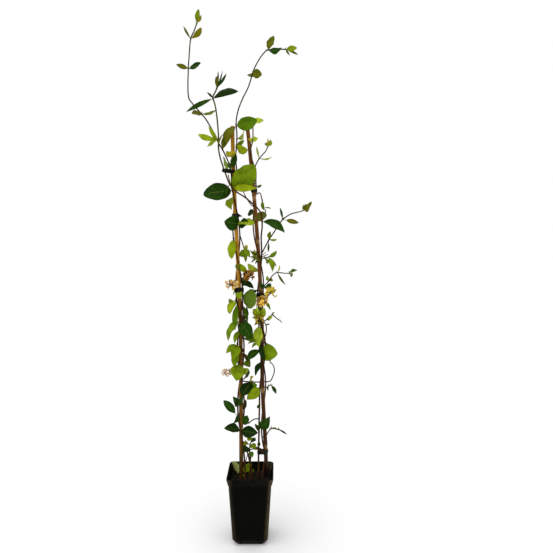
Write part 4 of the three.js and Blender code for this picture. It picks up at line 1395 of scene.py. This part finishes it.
def leaf_finish():
    material, tree, shader = principled("leaf", specular_ior_level=0.04)
    tint = attribute(tree, "tint", "Color")
    along, across, side = axes_of(attribute(tree, "blade", "Vector"))
    across = size_of(across)
    patches = effect(tree, BLOTCHES, scale=45, detail=4)
    fine = effect(tree, BLOTCHES, scale=420, detail=3)
    deep = blend_colours(tree, 1.0, tint, (0.6, 0.66, 0.5, 1), "MULTIPLY")
    bright = blend_colours(tree, 1.0, tint, (1.3, 1.2, 0.9, 1), "MULTIPLY")
    colour = blend_colours(tree, patches * 0.75 + fine * 0.25, deep, bright)
    veins = vein_line(along, across, 0.16) * ramp(across, 0.96, 0.7)
    midrib = ramp(across, 0.09, 0.02)
    lines_of_both = math_node("MAXIMUM", veins * 0.35, midrib * 0.7)
    pale = blend_colours(tree, 0.13, tint, srgb(196, 204, 90))
    colour = blend_colours(tree, lines_of_both, colour, pale)
    margin = ramp(across, 0.93, 1.0)
    colour = blend_colours(tree, margin * 0.25, colour, srgb(150, 130, 40))
    under = ramp(side, 0.0, -0.2)
    back = blend_colours(tree, 0.3, tint, srgb(140, 160, 70))
    colour = blend_colours(tree, under * 0.85, colour, back)
    connect(tree, shader, colour, 0.36 + under * 0.28 + fine * 0.1)
    height = (1 - lines_of_both) * 0.8 + fine * 0.2
    relief(tree, shader, height, 0.0004)
    return material


LEAF = leaf_finish()
print("finish:", LEAF.name)

# %% The grid of a blade
NECK = 0.12  # the share of the grid's rows that makes the stalk
STALK_HALF = 0.8 * MM
BODY_HALF, ROOT_BODY = 0.22 * MM, 0.5 * MM  # half its thickness, and what it has more at its root
RIB_HALF, RIB_DEPTH = 1.5 * MM, 0.5 * MM  # on the underside
GROOVE_HALF, GROOVE_DEPTH = 1.6 * MM, 1.4  # on top, its depth as a share of the pillows' height


def lens_grid(tree, rows, columns):
    """A closed cushion: two grids on each other that meet at their edges. It keeps its own
    coordinates in the attribute `blade`: along 0 to 1, across -1 to 1, and up or down."""
    halves = []
    for facing in (1, -1):
        inputs = {"Size X": 1.0, "Size Y": 2.0, "Vertices X": rows, "Vertices Y": columns}
        sheet = add_node(tree, "GeometryNodeMeshGrid", inputs).outputs["Mesh"]
        if facing < 0:
            sheet = add_node(tree, "GeometryNodeFlipFaces", {"Mesh": sheet}).outputs[0]
        x, y, _ = axes_of(add_node(tree, "GeometryNodeInputPosition").outputs[0])
        ends = ramp(size_of(x), 0.5, 0.44)
        height = math_node("MAXIMUM", 1 - y * y, 0.0) ** 0.5 * ends * facing
        place = add_node(tree, "ShaderNodeCombineXYZ", {0: x + 0.5, 1: y, 2: height}).outputs[0]
        inputs = {"Geometry": sheet, "Position": place}
        halves.append(add_node(tree, "GeometryNodeSetPosition", inputs).outputs[0])
    both = add_node(tree, "GeometryNodeJoinGeometry")
    for half in halves:
        tree.links.new(half, both.inputs[0])
    inputs = {"Geometry": both.outputs[0], "Distance": 0.0005}
    closed = add_node(tree, "GeometryNodeMergeByDistance", inputs)
    place = add_node(tree, "GeometryNodeInputPosition").outputs[0]
    inputs = {"Geometry": closed.outputs[0], "Name": "blade", "Value": place}
    marked = add_node(tree, "GeometryNodeStoreNamedAttribute", inputs, data_type="FLOAT_VECTOR")
    return marked.outputs[0]


print("a blade is", 2 * BODY_HALF / MM, "mm thick")


# %% The blade tree
def blade_tree():
    tree, given, result = geometry_tree("leaf_blades", {"Rows": 13, "Columns": 9})
    unit = lens_grid(tree, given.outputs["Rows"], given.outputs["Columns"])
    inputs = {"Points": given.outputs["Geometry"], "Instance": unit}
    placed = add_node(tree, "GeometryNodeInstanceOnPoints", inputs)
    solid = add_node(tree, "GeometryNodeRealizeInstances", {0: placed.outputs[0]}).outputs[0]

    def number(name):
        return Number(field(tree, name))

    grid, across, lift = axes_of(field(tree, "blade", "FLOAT_VECTOR"))
    edge = size_of(across)
    row = math_node("MAXIMUM", (grid - NECK) / (1 - NECK), 0.0)
    even = row * 0.45 + (1 - math_node("COSINE", row * math.pi)) * 0.275
    on_stalk = math_node("MINIMUM", grid / NECK, 1.0)
    along = number("stalk") * on_stalk + (1 - number("stalk")) * even

    swell = math_node("MAXIMUM", sine(even ** number("waist") * math.pi), 0.0) ** number("blunt")
    half = number("half") * swell
    neck = (1 - even ** 4) * STALK_HALF
    half = math_node("MAXIMUM", half, neck)

    bow = number("bow") * number("length") * along * (1 - along) * 4
    fold = number("fold") * half * edge ** 1.25
    ripple = sine(along * number("waves") + number("phase") + across * 1.4) * edge * edge
    ripple = ripple * number("ripple") * half
    twist = number("twist") * across * half * (along - 0.4)
    droop = number("droop") * number("length") * along ** 3
    pillow = sine(vein_count(even, edge) * math.tau - math.pi / 2)
    quilt = pillow * ramp(edge, 1.0, 0.6) * ramp(edge, 0.0, 0.25) * number("quilt")
    groove = ramp(edge * half, GROOVE_HALF, 0.0) * number("quilt") * GROOVE_DEPTH
    body = ramp(even, 0.12, 0.0) * ROOT_BODY + BODY_HALF
    rib = ramp(edge * half, RIB_HALF, 0.0) * ramp(lift, 0.0, -0.5) * (1 - even * 0.8) * RIB_DEPTH
    rise = bow + fold + ripple + twist + quilt + lift * body - droop - groove - rib

    length = number("length") * along
    place = vector_sum(
        field(tree, "root", "FLOAT_VECTOR"),
        stretched(field(tree, "ahead", "FLOAT_VECTOR"), length),
        stretched(field(tree, "side", "FLOAT_VECTOR"), across * half),
        stretched(field(tree, "up", "FLOAT_VECTOR"), rise),
    )
    shaped = add_node(tree, "GeometryNodeSetPosition", {"Geometry": solid, "Position": place})
    return end_tree(tree, result, shaped.outputs[0], LEAF)


BLADES = blade_tree()
print("nodes in the blade tree:", len(BLADES.nodes))

# %% Leaves of one stem
LEAF_GRIDS = ((34, 37, 15), (15, 17, 9), (0, 9, 5))  # least width in mm, rows, columns
QUILT_WIDTH = 60  # the least width of a blade with pillows of full height
QUILT_HEIGHT = 0.9
AXIL_WIDTH = 0.45  # as a share of its length
AXIL_GREENS = ("olive", "lime", "green")
dice = random.Random(11)


def leaf_point(root, azimuth, pitch, length, width, roll, form, green):
    """All that the blade tree reads from one point."""
    bow, fold, stalk, waist, blunt = FORMS[form]
    a, p = math.radians(azimuth), math.radians(pitch)
    ahead = Vector((math.cos(p) * math.cos(a), math.cos(p) * math.sin(a), math.sin(p)))
    side = Quaternion(ahead, math.radians(roll)) @ Vector((-math.sin(a), math.cos(a), 0))
    light = dice.uniform(0.92, 1.1)
    warm = dice.uniform(0.94, 1.07)
    red, gold, blue, _ = GREENS[green]
    return {
        "root": root * MM,
        "ahead": ahead,
        "side": side,
        "up": ahead.cross(side),
        "length": length * MM,
        "half": width / 2 * MM,
        "bow": bow,
        "fold": fold,
        "stalk": stalk,
        "waist": waist,
        "blunt": blunt,
        "waves": dice.uniform(9, 20),
        "phase": dice.uniform(0, math.tau),
        "ripple": dice.uniform(0.05, 0.13),
        "twist": dice.uniform(-0.15, 0.15),
        "droop": dice.uniform(0.0, 0.07),
        "quilt": min(width, QUILT_WIDTH) / QUILT_WIDTH * QUILT_HEIGHT * MM,
        "tint": (red * light * warm, gold * light, blue * light / warm),
    }


def blade_meshes(name, rest):
    """Meshes of all blades, the small ones with fewer faces. Each row: width, leaf point."""
    meshes = []
    for least, rows, columns in LEAF_GRIDS:
        chosen = [point for width, point in rest if width >= least]
        rest = [(width, point) for width, point in rest if width < least]
        if chosen:
            columns_of = {key: [point[key] for point in chosen] for key in chosen[0]}
            blank = point_object(name, columns_of["root"], **columns_of)
            meshes.append(grown(blank, BLADES, rows=rows, columns=columns))
    return meshes


def axil_leaves(stem):
    """Pairs of tiny young leaves in the axils, at each place where leaves grow."""
    line = lines[stem.name]
    points = []
    for along in sorted({leaf[0] for leaf in stem.leaves}):
        for turn in (0, 180):
            azimuth = dice.uniform(0, 180) + turn
            length = dice.uniform(5, 10)
            width = length * AXIL_WIDTH
            leaf = (azimuth, dice.uniform(20, 75), length, width, dice.uniform(-30, 30))
            green = dice.choice(AXIL_GREENS)
            points.append((width, leaf_point(line.at(along), *leaf, "narrow", green)))
    return points


for stem in STEMS:
    line = lines[stem.name]
    leaves = [(leaf[4], leaf_point(line.at(leaf[0]), *leaf[1:])) for leaf in stem.leaves]
    meshes = blade_meshes(stem.name, leaves + axil_leaves(stem))
    piece_of("leafy_" + stem.name, joined([bark_mesh(stem), *meshes]), [stem.name])

# %% [markdown]
# ## Ties
# Garden ties are flat bands of soft plastic, drawn tight round the cane and the stems beside it, so
# a tie has the outline of a rubber band round some discs. That outline is found direction by
# direction: the disc that reaches furthest gives the point. The band is lofted from seven such
# outlines, thicker in its middle, and its free end sticks out as a short tail with a small buckle.

# %% Tie plastic
TIE_WALL = 1.2
TIE_SLACK = 0.4
TIED_STEM = 2.8  # the radius of a stem in a tie, with the tie's slack
TIE_DIRECTIONS = 72
TIE_LEVELS = 3  # outlines above and below the one in the middle
BUCKLE = (-2.6, -1, 1, 2.6)  # its rings, along the band
TAIL = ((2, 0.2, 0), (4, 1, 0), (6, 2.4, -1), (7.5, 4.4, -2.5))  # along the band, out and up
BUCKLE_DEPTH, TAIL_DEPTH = 2.2, 0.9
STRIP_SIDES = 10
TIES = {
    # cane, stems, height of its middle, its own height, direction of the tail in degrees
    "tie_left_top": (left_cane, ["leader_left", "leader_crossing"], 1072, 10, 205),
    "tie_left_upper": (left_cane, ["leader_left", "leader_middle"], 947, 11, 330),
    "tie_left_middle": (left_cane, ["leader_left", "leader_middle"], 733, 14, 210),
    "tie_left_low": (left_cane, ["leader_left", "leader_middle"], 627, 13, 300),
    "tie_right_top": (right_cane, ["leader_right"], 1020, 13, 215),
    "tie_right_middle": (right_cane, ["leader_right", "leader_crossing"], 717, 14, 320),
    "tie_right_low": (right_cane, ["leader_right", "leader_crossing"], 255, 12, 250),
}


def tie_finish():
    material, tree, shader = principled("tie_plastic", specular_ior_level=0.12)
    scuffs = effect(tree, BLOTCHES, scale=240, detail=5)
    colour = blend_colours(tree, scuffs, srgb(8, 9, 7), srgb(30, 32, 24))
    connect(tree, shader, colour, 0.32 + scuffs * 0.3)
    relief(tree, shader, scuffs, 0.0003)
    return material


TIE_PLASTIC = tie_finish()
print("ties:", len(TIES))


# %% Bands
def band_outline(discs, margin, z):
    """The outline of a band drawn tight round discs of (centre, radius)."""
    ring = []
    for i in range(TIE_DIRECTIONS):
        around = math.tau * i / TIE_DIRECTIONS
        out = Vector((math.cos(around), math.sin(around), 0))
        centre, radius = max(discs, key=lambda disc: disc[0].dot(out) + disc[1])
        point = centre + out * (radius + margin)
        ring.append(Vector((point.x, point.y, z)))
    return ring


def strip(path, side, width, depth):
    """A flat strip with soft edges along a path, as a loft of flattened rings."""
    rings = []
    for i, point in enumerate(path):
        ahead = (path[min(i + 1, len(path) - 1)] - path[max(i - 1, 0)]).normalized()
        normal = ahead.cross(side).normalized()
        ring = []
        for k in range(STRIP_SIDES):
            around = math.tau * k / STRIP_SIDES
            across, lift = math.cos(around), math.sin(around)
            across = math.copysign(abs(across) ** 0.5, across)
            lift = math.copysign(abs(lift) ** 0.5, lift)
            ring.append(point + side * across * width / 2 + normal * lift * depth / 2)
        rings.append(ring)
    return loft(rings)


def band(discs, z, height):
    """The closed band: up its outside, which is thickest in the middle, and down its inside."""
    upwards = list(range(-TIE_LEVELS, TIE_LEVELS + 1))
    rings = []
    for outside, levels in ((True, upwards), (False, upwards[::-1])):
        for level in levels:
            crown = 1 - (abs(level) / TIE_LEVELS) ** 3 * 0.55
            margin = TIE_WALL * crown if outside else TIE_WALL * 0.25 * (1 - crown)
            rings.append(band_outline(discs, margin, z + height / 2 * level / TIE_LEVELS))
    return loft(rings, closed=True)


def tie_mesh(name, cane, stems, z, height, tail):
    discs = [(cane(z), cane_radius(z) + TIE_SLACK)]
    for stem in stems:
        for level in (z - height / 2, z, z + height / 2):
            discs.append((lines[stem].at_height(level), TIED_STEM))
    discs = [(Vector((centre.x, centre.y, 0)), radius) for centre, radius in discs]
    turn = math.radians(tail)
    out = Vector((math.cos(turn), math.sin(turn), 0))
    side = Vector((-math.sin(turn), math.cos(turn), 0))
    up = Vector((0, 0, 1))
    centre, radius = max(discs, key=lambda disc: disc[0].dot(out) + disc[1])
    root = centre + out * (radius + TIE_WALL * 0.6) + up * z
    buckle = [root + side * along for along in BUCKLE]
    path = [root + side * along + out * away + up * rise for along, away, rise in TAIL]
    shapes = [band(discs, z, height), strip(buckle, up, height * 0.6, BUCKLE_DEPTH)]
    shapes.append(strip(path, up, height * 0.42, TAIL_DEPTH))
    return joined([mesh_from(shape, name, TIE_PLASTIC) for shape in shapes])


for tie_name, (cane, stems, z, height, tail) in TIES.items():
    mesh = tie_mesh(tie_name, cane, stems, z, height, tail)
    piece_of("band_" + tie_name, mesh, [tie_name], crease=50)

# %% [markdown]
# ## Flowers
# A honeysuckle head is a whorl of florets on a short stalk. A floret is a curved tube that splits in
# a broad upper lip with four lobes and a narrow lower lip, both curled back, with five stamens and a
# style that reach out of it. A bud is a closed club. Florets open pale, turn yellow and orange as
# they age, and end brown. One open floret and one bud are made as thin closed skins, and a Geometry
# Nodes tree puts them round each head, each with its own turn, size and colours.

# %% Petal finish
PETAL, STAMEN, CALYX = 0.0, 1.0, 2.0


def petal_finish():
    material, tree, shader = principled("petal", specular_ior_level=0.12)
    tone = attribute(tree, "tone")
    part = attribute(tree, "part")
    veins = effect(tree, BLOTCHES, scale=500, detail=3)
    tube, lip = attribute(tree, "tube_tint", "Color"), attribute(tree, "lip_tint", "Color")
    colour = blend_colours(tree, ramp(tone, 0.45, 0.9), tube, lip)
    deeper = blend_colours(tree, 1.0, colour, (0.76, 0.5, 0.22, 1), "MULTIPLY")
    colour = blend_colours(tree, 0.12 + veins * 0.5, colour, deeper)
    anther = blend_colours(tree, tone, srgb(226, 196, 120), srgb(196, 138, 30))
    colour = blend_colours(tree, ramp(part, 0.4, 0.6), colour, anther)
    colour = blend_colours(tree, ramp(part, 1.4, 1.6), colour, srgb(110, 128, 44))
    connect(tree, shader, colour, 0.45 + veins * 0.2)
    relief(tree, shader, veins, 0.0002)
    return material


PETALS = petal_finish()
TUBE_TONES, LIP_TONES = (0.0, 0.6), (0.5, 1.0)
LIP_THICKNESS = 0.3
THREAD_RADIUS = 0.22
STAMENS = 5
print("finish:", PETALS.name)


# %% Thin skins, tubes and threads
def marked(shape, part, tones):
    """A plain mesh of a bmesh, with the two values that the petal finish reads."""
    tone_layer = shape.verts.layers.float.new("tone")
    part_layer = shape.verts.layers.float.new("part")
    for vertex, tone in zip(shape.verts, tones):
        vertex[tone_layer] = tone
        vertex[part_layer] = part
    return mesh_from(shape, "floret_part", PETALS)


def thin_skin(surface, rows, columns):
    """A closed skin over `surface(a, b)`, a from 0 to 1 along it and b from -1 to 1 across."""
    keys = [(i, j) for i in range(rows + 1) for j in range(columns + 1)]
    grid = {(i, j): surface(i / rows, 2 * j / columns - 1) for i, j in keys}
    shape = bmesh.new()
    first, last = LIP_TONES
    tones = []

    def corner(i, j, facing):
        ahead = grid[min(i + 1, rows), j] - grid[max(i - 1, 0), j]
        across = grid[i, min(j + 1, columns)] - grid[i, max(j - 1, 0)]
        tones.append(first + (last - first) * i / rows)
        lift = ahead.cross(across).normalized() * facing * LIP_THICKNESS / 2
        return shape.verts.new((grid[i, j] + lift) * MM)

    inside = {(i, j) for i in range(1, rows) for j in range(1, columns)}
    top = {key: corner(*key, 1 if key in inside else 0) for key in keys}
    under = {key: corner(*key, -1) if key in inside else top[key] for key in keys}
    for i in range(rows):
        for j in range(columns):
            ring = [(i, j), (i + 1, j), (i + 1, j + 1), (i, j + 1)]
            shape.faces.new([top[key] for key in ring])
            shape.faces.new([under[key] for key in ring[::-1]])
    return marked(shape, PETAL, tones)


def thread(path, radii, sides, part=PETAL, tones=TUBE_TONES):
    """A closed round thread or tube through points, with a radius at each."""
    rings = []
    for i, (point, radius) in enumerate(zip(path, radii)):
        ahead = (path[min(i + 1, len(path) - 1)] - path[max(i - 1, 0)]).normalized()
        turn = ahead.to_track_quat("Z", "Y")
        angles = [math.tau * k / sides for k in range(sides)]
        spokes = [Vector((math.cos(angle), math.sin(angle), 0)) for angle in angles]
        rings.append([point + turn @ spoke * radius for spoke in spokes])
    shape = loft(rings)
    low, high = tones
    steps = [i // sides / (len(path) - 1) for i in range(len(path) * sides)]
    return marked(shape, part, [low + (high - low) * step for step in steps])


def through(points, share):
    """A point on the smooth line through (reach, rise) pairs, and the line's direction there."""
    line = Line([(reach, 0, rise) for reach, rise in points])
    distance = line.length * share
    ahead, behind = line.at(min(line.length, distance + 0.2)), line.at(max(0, distance - 0.2))
    return line.at(distance), (ahead - behind).normalized()


print("skins are", LIP_THICKNESS, "mm thick and threads", 2 * THREAD_RADIUS)


# %% One open floret and one bud
TUBE = [(1.2, 0), (5, 0.2), (9, 0.9), (12.4, 2.6)]
UPPER_LIP = [(11.6, 2.6), (14.6, 4.4), (16.8, 7.2), (16.8, 10.2), (14.6, 11.8)]
LOWER_LIP = [(11.6, 1.8), (14.6, 1.2), (17.2, -0.8), (18.4, -3.8), (17.0, -6.4)]
BUD = [(1.2, 0), (6, 3.2), (11, 8), (14, 12), (15.2, 14.8)]


def lip(points, widths, wrap, facing, lobes):
    """The surface of a lip along some points, with its half-widths and how far its edges wrap."""
    def surface(a, b):
        if lobes:
            a = a * (1 - 0.24 * (1 - abs(math.sin(2 * math.pi * b)) ** 0.6) * a)
        centre, ahead = through(points, a)
        normal = Vector((-ahead.z, 0, ahead.x)) * facing
        place = a * (len(widths) - 1)
        i = min(int(place), len(widths) - 2)
        half = widths[i] + (widths[i + 1] - widths[i]) * (place - i)
        turn = wrap * (1 - a * 0.8)
        across = math.sin(turn * b) / turn * half
        drop = (1 - math.cos(turn * b)) / turn * half
        frill = 0.25 * math.sin(b * 7) * a
        return centre + Vector((0, 1, 0)) * across - normal * (drop + frill)
    return surface


def calyx():
    path = [Vector((x, 0, 0)) for x in (-0.6, 0.2, 1.2, 2.2, 2.8)]
    return thread(path, [0.3, 1.0, 1.15, 0.8, 0.5], 8, CALYX)


def open_floret():
    tube_line = [through(TUBE, i / 6)[0] for i in range(7)]
    tube = thread([*tube_line, tube_line[4]], [0.65, 0.75, 0.8, 0.95, 1.2, 1.6, 2.0, 0.5], 10)
    upper = thin_skin(lip(UPPER_LIP, [2.0, 4.0, 6.2, 6.8, 5.6], 1.5, 1, True), 9, 16)
    lower = thin_skin(lip(LOWER_LIP, [1.8, 2.4, 3.2, 3.0, 1.3], 1.4, -1, False), 8, 4)
    parts = [tube, upper, lower, calyx()]
    for i in range(STAMENS):
        spread = (i - 2) * 1.5
        end = Vector((20 - abs(i - 2) * 0.8, spread * 1.5, 4.5 + (i % 2) * 2.6))
        middle = Vector((17, spread * 0.7, 3.6 + (i % 2)))
        start = Vector((10.5, spread * 0.2, 1.8))
        path = Line([start, middle, end])
        points = [path.at(path.length * k / 5) for k in range(6)]
        parts.append(thread(points, [THREAD_RADIUS] * 6, 5, PETAL, (0.5, 1.0)))
        tip = (end - middle).normalized()
        anther = [end - tip * 0.2, end + tip * 0.4, end + tip * 1.4, end + tip * 2]
        parts.append(thread(anther, [0.2, 0.5, 0.5, 0.15], 6, STAMEN, (0.2, 1.0)))
    style = Line([(11, 0, 2.2), (17, 0.4, 5.2), (22, 0.8, 6.4)])
    points = [style.at(style.length * k / 6) for k in range(7)]
    parts.append(thread(points, [THREAD_RADIUS] * 6 + [0.6], 6, PETAL, (0.4, 0.9)))
    return joined(parts)


def closed_bud():
    line = [through(BUD, i / 8)[0] for i in range(9)]
    club = thread(line, [0.6, 0.7, 0.8, 0.95, 1.2, 1.6, 1.85, 1.4, 0.3], 10, PETAL, (0.0, 0.75))
    return joined([club, calyx()])


MASTERS = {"open": linked("open_floret", open_floret()), "bud": linked("closed_bud", closed_bud())}
print("faces:", {kind: len(master.data.polygons) for kind, master in MASTERS.items()})


# %% The head tree
def head_tree():
    tree, given, result = geometry_tree("flower_head", {"Floret": None})
    inputs = {"Object": given.outputs["Floret"]}
    master = add_node(tree, "GeometryNodeObjectInfo", inputs).outputs["Geometry"]
    inputs = {
        "Points": given.outputs["Geometry"],
        "Instance": master,
        "Rotation": field(tree, "turn", "FLOAT_VECTOR"),
        "Scale": field(tree, "size"),
    }
    placed = add_node(tree, "GeometryNodeInstanceOnPoints", inputs)
    solid = add_node(tree, "GeometryNodeRealizeInstances", {0: placed.outputs[0]})
    return end_tree(tree, result, solid.outputs[0], PETALS)


HEAD_TREE = head_tree()
print("nodes in the head tree:", len(HEAD_TREE.nodes))

# %% Places and colours of the heads
FLORET_COLOURS = {
    # the tube and the lips, from young to old
    "pale": (srgb(255, 216, 190), srgb(255, 252, 244)),
    "peach": (srgb(250, 158, 66), srgb(255, 238, 160)),
    "golden": (srgb(166, 106, 22), srgb(252, 220, 92)),
    "yellow": (srgb(168, 138, 20), srgb(250, 240, 84)),
    "fading": (srgb(84, 58, 12), srgb(190, 178, 52)),
    "brown": (srgb(62, 28, 6), srgb(160, 112, 32)),
}
HEADS = {
    # parent, distance along it, middle of the head, size, first turn, colours
    "flowers_top": ("leader_middle", 643, (-2, -30, 775), 1.0, 35, "brown"),
    "flowers_left": ("leader_left", 604, (-52, -22, 749), 0.95, 70, "peach"),
    "flowers_right": ("leader_right", 553, (60, -18, 726), 1.05, 0, "yellow"),
    "flowers_middle": ("leader_crossing", 548, (35, -24, 701), 1.0, 40, "golden"),
    "flowers_lower": ("leader_crossing", 495, (29, -24, 649), 0.8, 10, "fading"),
    "flowers_low_left": ("leader_middle", 365, (-67, -16, 494), 0.8, 55, "pale"),
}
WHORLS = ((5, -44, 0.9), (7, -4, 1.0), (6, 36, 0.85), (3, 70, 0.62))  # florets, lean, size
BRACTS = 7
BRACT_WIDTH = 0.62  # as a share of its length
BRACT_GREENS = ("olive", "olive", "dark")
print("florets in a head:", sum(count for count, _, _ in WHORLS))


# %% Heads
def floret_points(centre, scale, first_turn, colours):
    """Rings of florets, each steeper than the one below. Every third one is a bud."""
    tube, lips = FLORET_COLOURS[colours]
    chosen = {"open": [], "bud": []}
    for ring, (count, tilt, size) in enumerate(WHORLS):
        for i in range(count):
            turn = math.radians(first_turn + 360 * i / count + ring * 25 + dice.uniform(-9, 9))
            lean = -math.radians(tilt + dice.uniform(-12, 14))
            light = dice.uniform(0.6, 1.25)
            chosen["bud" if (i + ring) % 3 == 1 else "open"].append({
                "place": Vector(centre) * MM,
                "turn": (dice.uniform(-0.4, 0.4), lean, turn),
                "size": scale * size * dice.uniform(0.85, 1.05),
                "tube_tint": [value * light for value in tube[:3]],
                "lip_tint": [value * light for value in lips[:3]],
            })
    return chosen


def bracts(centre):
    """The ruff of small leaves that a whorl of florets sits in."""
    points = []
    for i in range(BRACTS):
        azimuth = 360 * i / BRACTS + dice.uniform(-14, 14)
        length = dice.uniform(11, 15)
        width = length * BRACT_WIDTH
        leaf = (azimuth, dice.uniform(-25, 55), length, width, dice.uniform(-40, 40))
        green = dice.choice(BRACT_GREENS)
        points.append((width, leaf_point(Vector(centre), *leaf, "round", green)))
    return points


def head_mesh(name, parent, at, centre, scale, first_turn, colours):
    """Bracts, open florets and buds, and the stalk from the parent to the middle of the head."""
    meshes = blade_meshes(name, bracts(centre))
    for kind, points in floret_points(centre, scale, first_turn, colours).items():
        values = {key: [point[key] for point in points] for key in points[0]}
        blank = point_object(name, values.pop("place"), **values)
        meshes.append(grown(blank, HEAD_TREE, floret=MASTERS[kind]))
    root = lines[parent].at(at)
    line = Line([root, root.lerp(Vector(centre), 0.5), centre])
    return joined([*meshes, bare_rod(name, line, root=1.0, tip=1.6, youth=0.9)])


for head_name, head in HEADS.items():
    piece_of("bloom_" + head_name, head_mesh(head_name, *head), [head_name], crease=60)
for master in MASTERS.values():
    bpy.data.objects.remove(master)
print("flower heads:", len(HEADS))

# %% [markdown]
# ## Short stalks and small leaves
# Between the leaders run a few short stalks: petioles whose leaf has dropped, and twigs that cross
# from one stem to the next. They are the same rods as the stems, and each starts on a stem. More
# leaves crowd the leaders' joints. Most are small and young, such as a tuft on the crossing leader
# and a whorl higher up on the right one, and one is the narrow twin of a blade near the top. They
# come from the same tree as the blades of the stems, and every one grows from a leader.

# %% Stalks and small leaves
STALKS = [
    # parent, distance along it, then the line, root radius, tip radius, youth
    ("leader_crossing", 842, [(8, -17, 974), (-2, -17, 985), (-11, -17, 999), (-19, -17, 1016)],
     1.8, 1.3, 0.7),
    ("leader_right", 691, [(36, -8, 835), (46, -12, 843)], 1.3, 1.0, 0.6),
    ("leader_right", 689, [(43, -8, 833), (52, -12, 836)], 1.3, 1.0, 0.8),
    ("leader_left", 551, [(-41, -13, 702), (-40, -15, 714)], 1.5, 1.1, 0.95),
    ("leader_left", 390, [(-20, -9, 541), (-26, -14, 566), (-33, -14, 602)], 1.8, 1.2, 0.3),
    ("leader_left", 420, [(-21, -12, 560), (-15, -15, 545), (-6, -12, 529)], 1.7, 1.2, 0.2),
    ("leader_left", 487, [(-25, -11, 645), (-25, -11, 668), (-25, -9, 702)], 2.4, 2.0, 0.35),
    ("leader_left", 484, [(-21, -12, 644), (-20, -12, 668), (-22, -8, 704)], 2.4, 2.0, 0.3),
    ("leader_left", 880, [(-56, -15, 1040), (-61, -14, 1062)], 1.8, 1.5, 0.3),
    ("leader_left", 56, [(-16, -12, 218), (-13, -14, 237), (-9, -13, 252)], 1.8, 1.2, 0.1),
    ("basal_shoot", 62, [(0, -13, 232), (3, -12, 252), (6, -12, 262)], 1.7, 1.2, 0.1),
    ("leader_right", 104, [(34, -12, 264), (22, -15, 270), (8, -16, 271), (-2, -20, 270)],
     2.0, 1.6, 0.15),
]
SMALL_LEAVES = [
    # parent, distance along it, then: azimuth, pitch, length, width, roll, form, green
    ("leader_middle", 677, -95, -62, 24, 15, 10, "flat", "olive"),
    # painted shade: a dark narrow leaf laid over the left half of the big round blade nearby, which
    # is in shade
    ("leader_right", 434, -62, -52, 56, 18, 60, "flat", "night"),
    ("leader_crossing", 1179, -20, 9, 76, 13, 95, "oblong", "night"),
    ("leader_crossing", 508, -131, 41, 43, 9, -140, "narrow", "lime"),
    ("leader_crossing", 508, -115, 55, 47, 9, -150, "narrow", "fresh"),
    ("leader_crossing", 509, -72, 55, 38, 8, 150, "narrow", "lime"),
    ("leader_crossing", 506, -135, 12, 35, 10, -95, "narrow", "moss"),
    ("leader_crossing", 502, -130, -23, 31, 9, -60, "narrow", "olive"),
    ("leader_crossing", 506, -62, 36, 31, 8, 115, "narrow", "gold"),
    ("leader_middle", 552, -12, -71, 53, 15, 40, "flat", "green"),
    ("leader_middle", 417, -110, -59, 50, 24, -5, "flat", "moss"),
    ("leader_left", 405, -40, -50, 41, 13, 30, "flat", "olive"),
    ("leader_right", 694, -157, 32, 33, 6, -115, "narrow", "dark"),
    ("leader_right", 693, -154, -36, 31, 7, -50, "narrow", "olive"),
    ("leader_right", 696, -144, 45, 22, 5, -120, "narrow", "night"),
    ("leader_right", 691, -162, 1, 30, 6, -75, "narrow", "olive"),
    ("leader_right", 689, -143, -49, 23, 6, -60, "narrow", "dark"),
    ("leader_crossing", 122, -84, 58, 25, 10, 180, "flat", "dark"),
    ("leader_crossing", 117, -51, -13, 17, 9, 55, "flat", "night"),
    ("leader_crossing", 119, -137, -1, 19, 9, -80, "flat", "night"),
]
stalks = []
for parent, along, path, *sizes in STALKS:
    stalks.append(bare_rod("stalk", Line([lines[parent].at(along), *path]), *sizes))
small_leaves = []
for parent, along, *leaf in SMALL_LEAVES:
    small_leaves.append((leaf[3], leaf_point(lines[parent].at(along), *leaf)))
piece_of("stalks", joined([*stalks, *blade_meshes("small_leaves", small_leaves)]))

# %% [markdown]
# ## Small growth on the compost
# Four seedling leaves stand on the compost behind the left cane, and the end of a short dry twig
# sticks out of it between the canes.

# %% Seedlings and a twig
SEEDLINGS = [
    # root in mm, then: azimuth, pitch, length, width, roll, form, green
    ((-38, 33, SOIL_TOP - 2), (150, 62, 40, 27, 85, "round", "pale")),
    ((-24, 36, SOIL_TOP - 2), (20, 48, 36, 24, 85, "round", "lime")),
    ((-8, 30, SOIL_TOP - 2), (-20, 40, 24, 14, 75, "oblong", "olive")),
    ((-30, 20, SOIL_TOP - 2), (-60, 15, 18, 11, 20, "round", "lime")),
]
TWIG = [(14, -6, SOIL_TOP - 3), (20, -6, SOIL_TOP + 15), (26, -6, SOIL_TOP + 29)]
seedlings = [(leaf[3], leaf_point(Vector(root), *leaf)) for root, leaf in SEEDLINGS]
twig = bare_rod("twig", Line(TWIG), root=1.5, tip=1.5, youth=0.05)
piece_of("seedlings", joined([*blade_meshes("seedlings", seedlings), twig]))
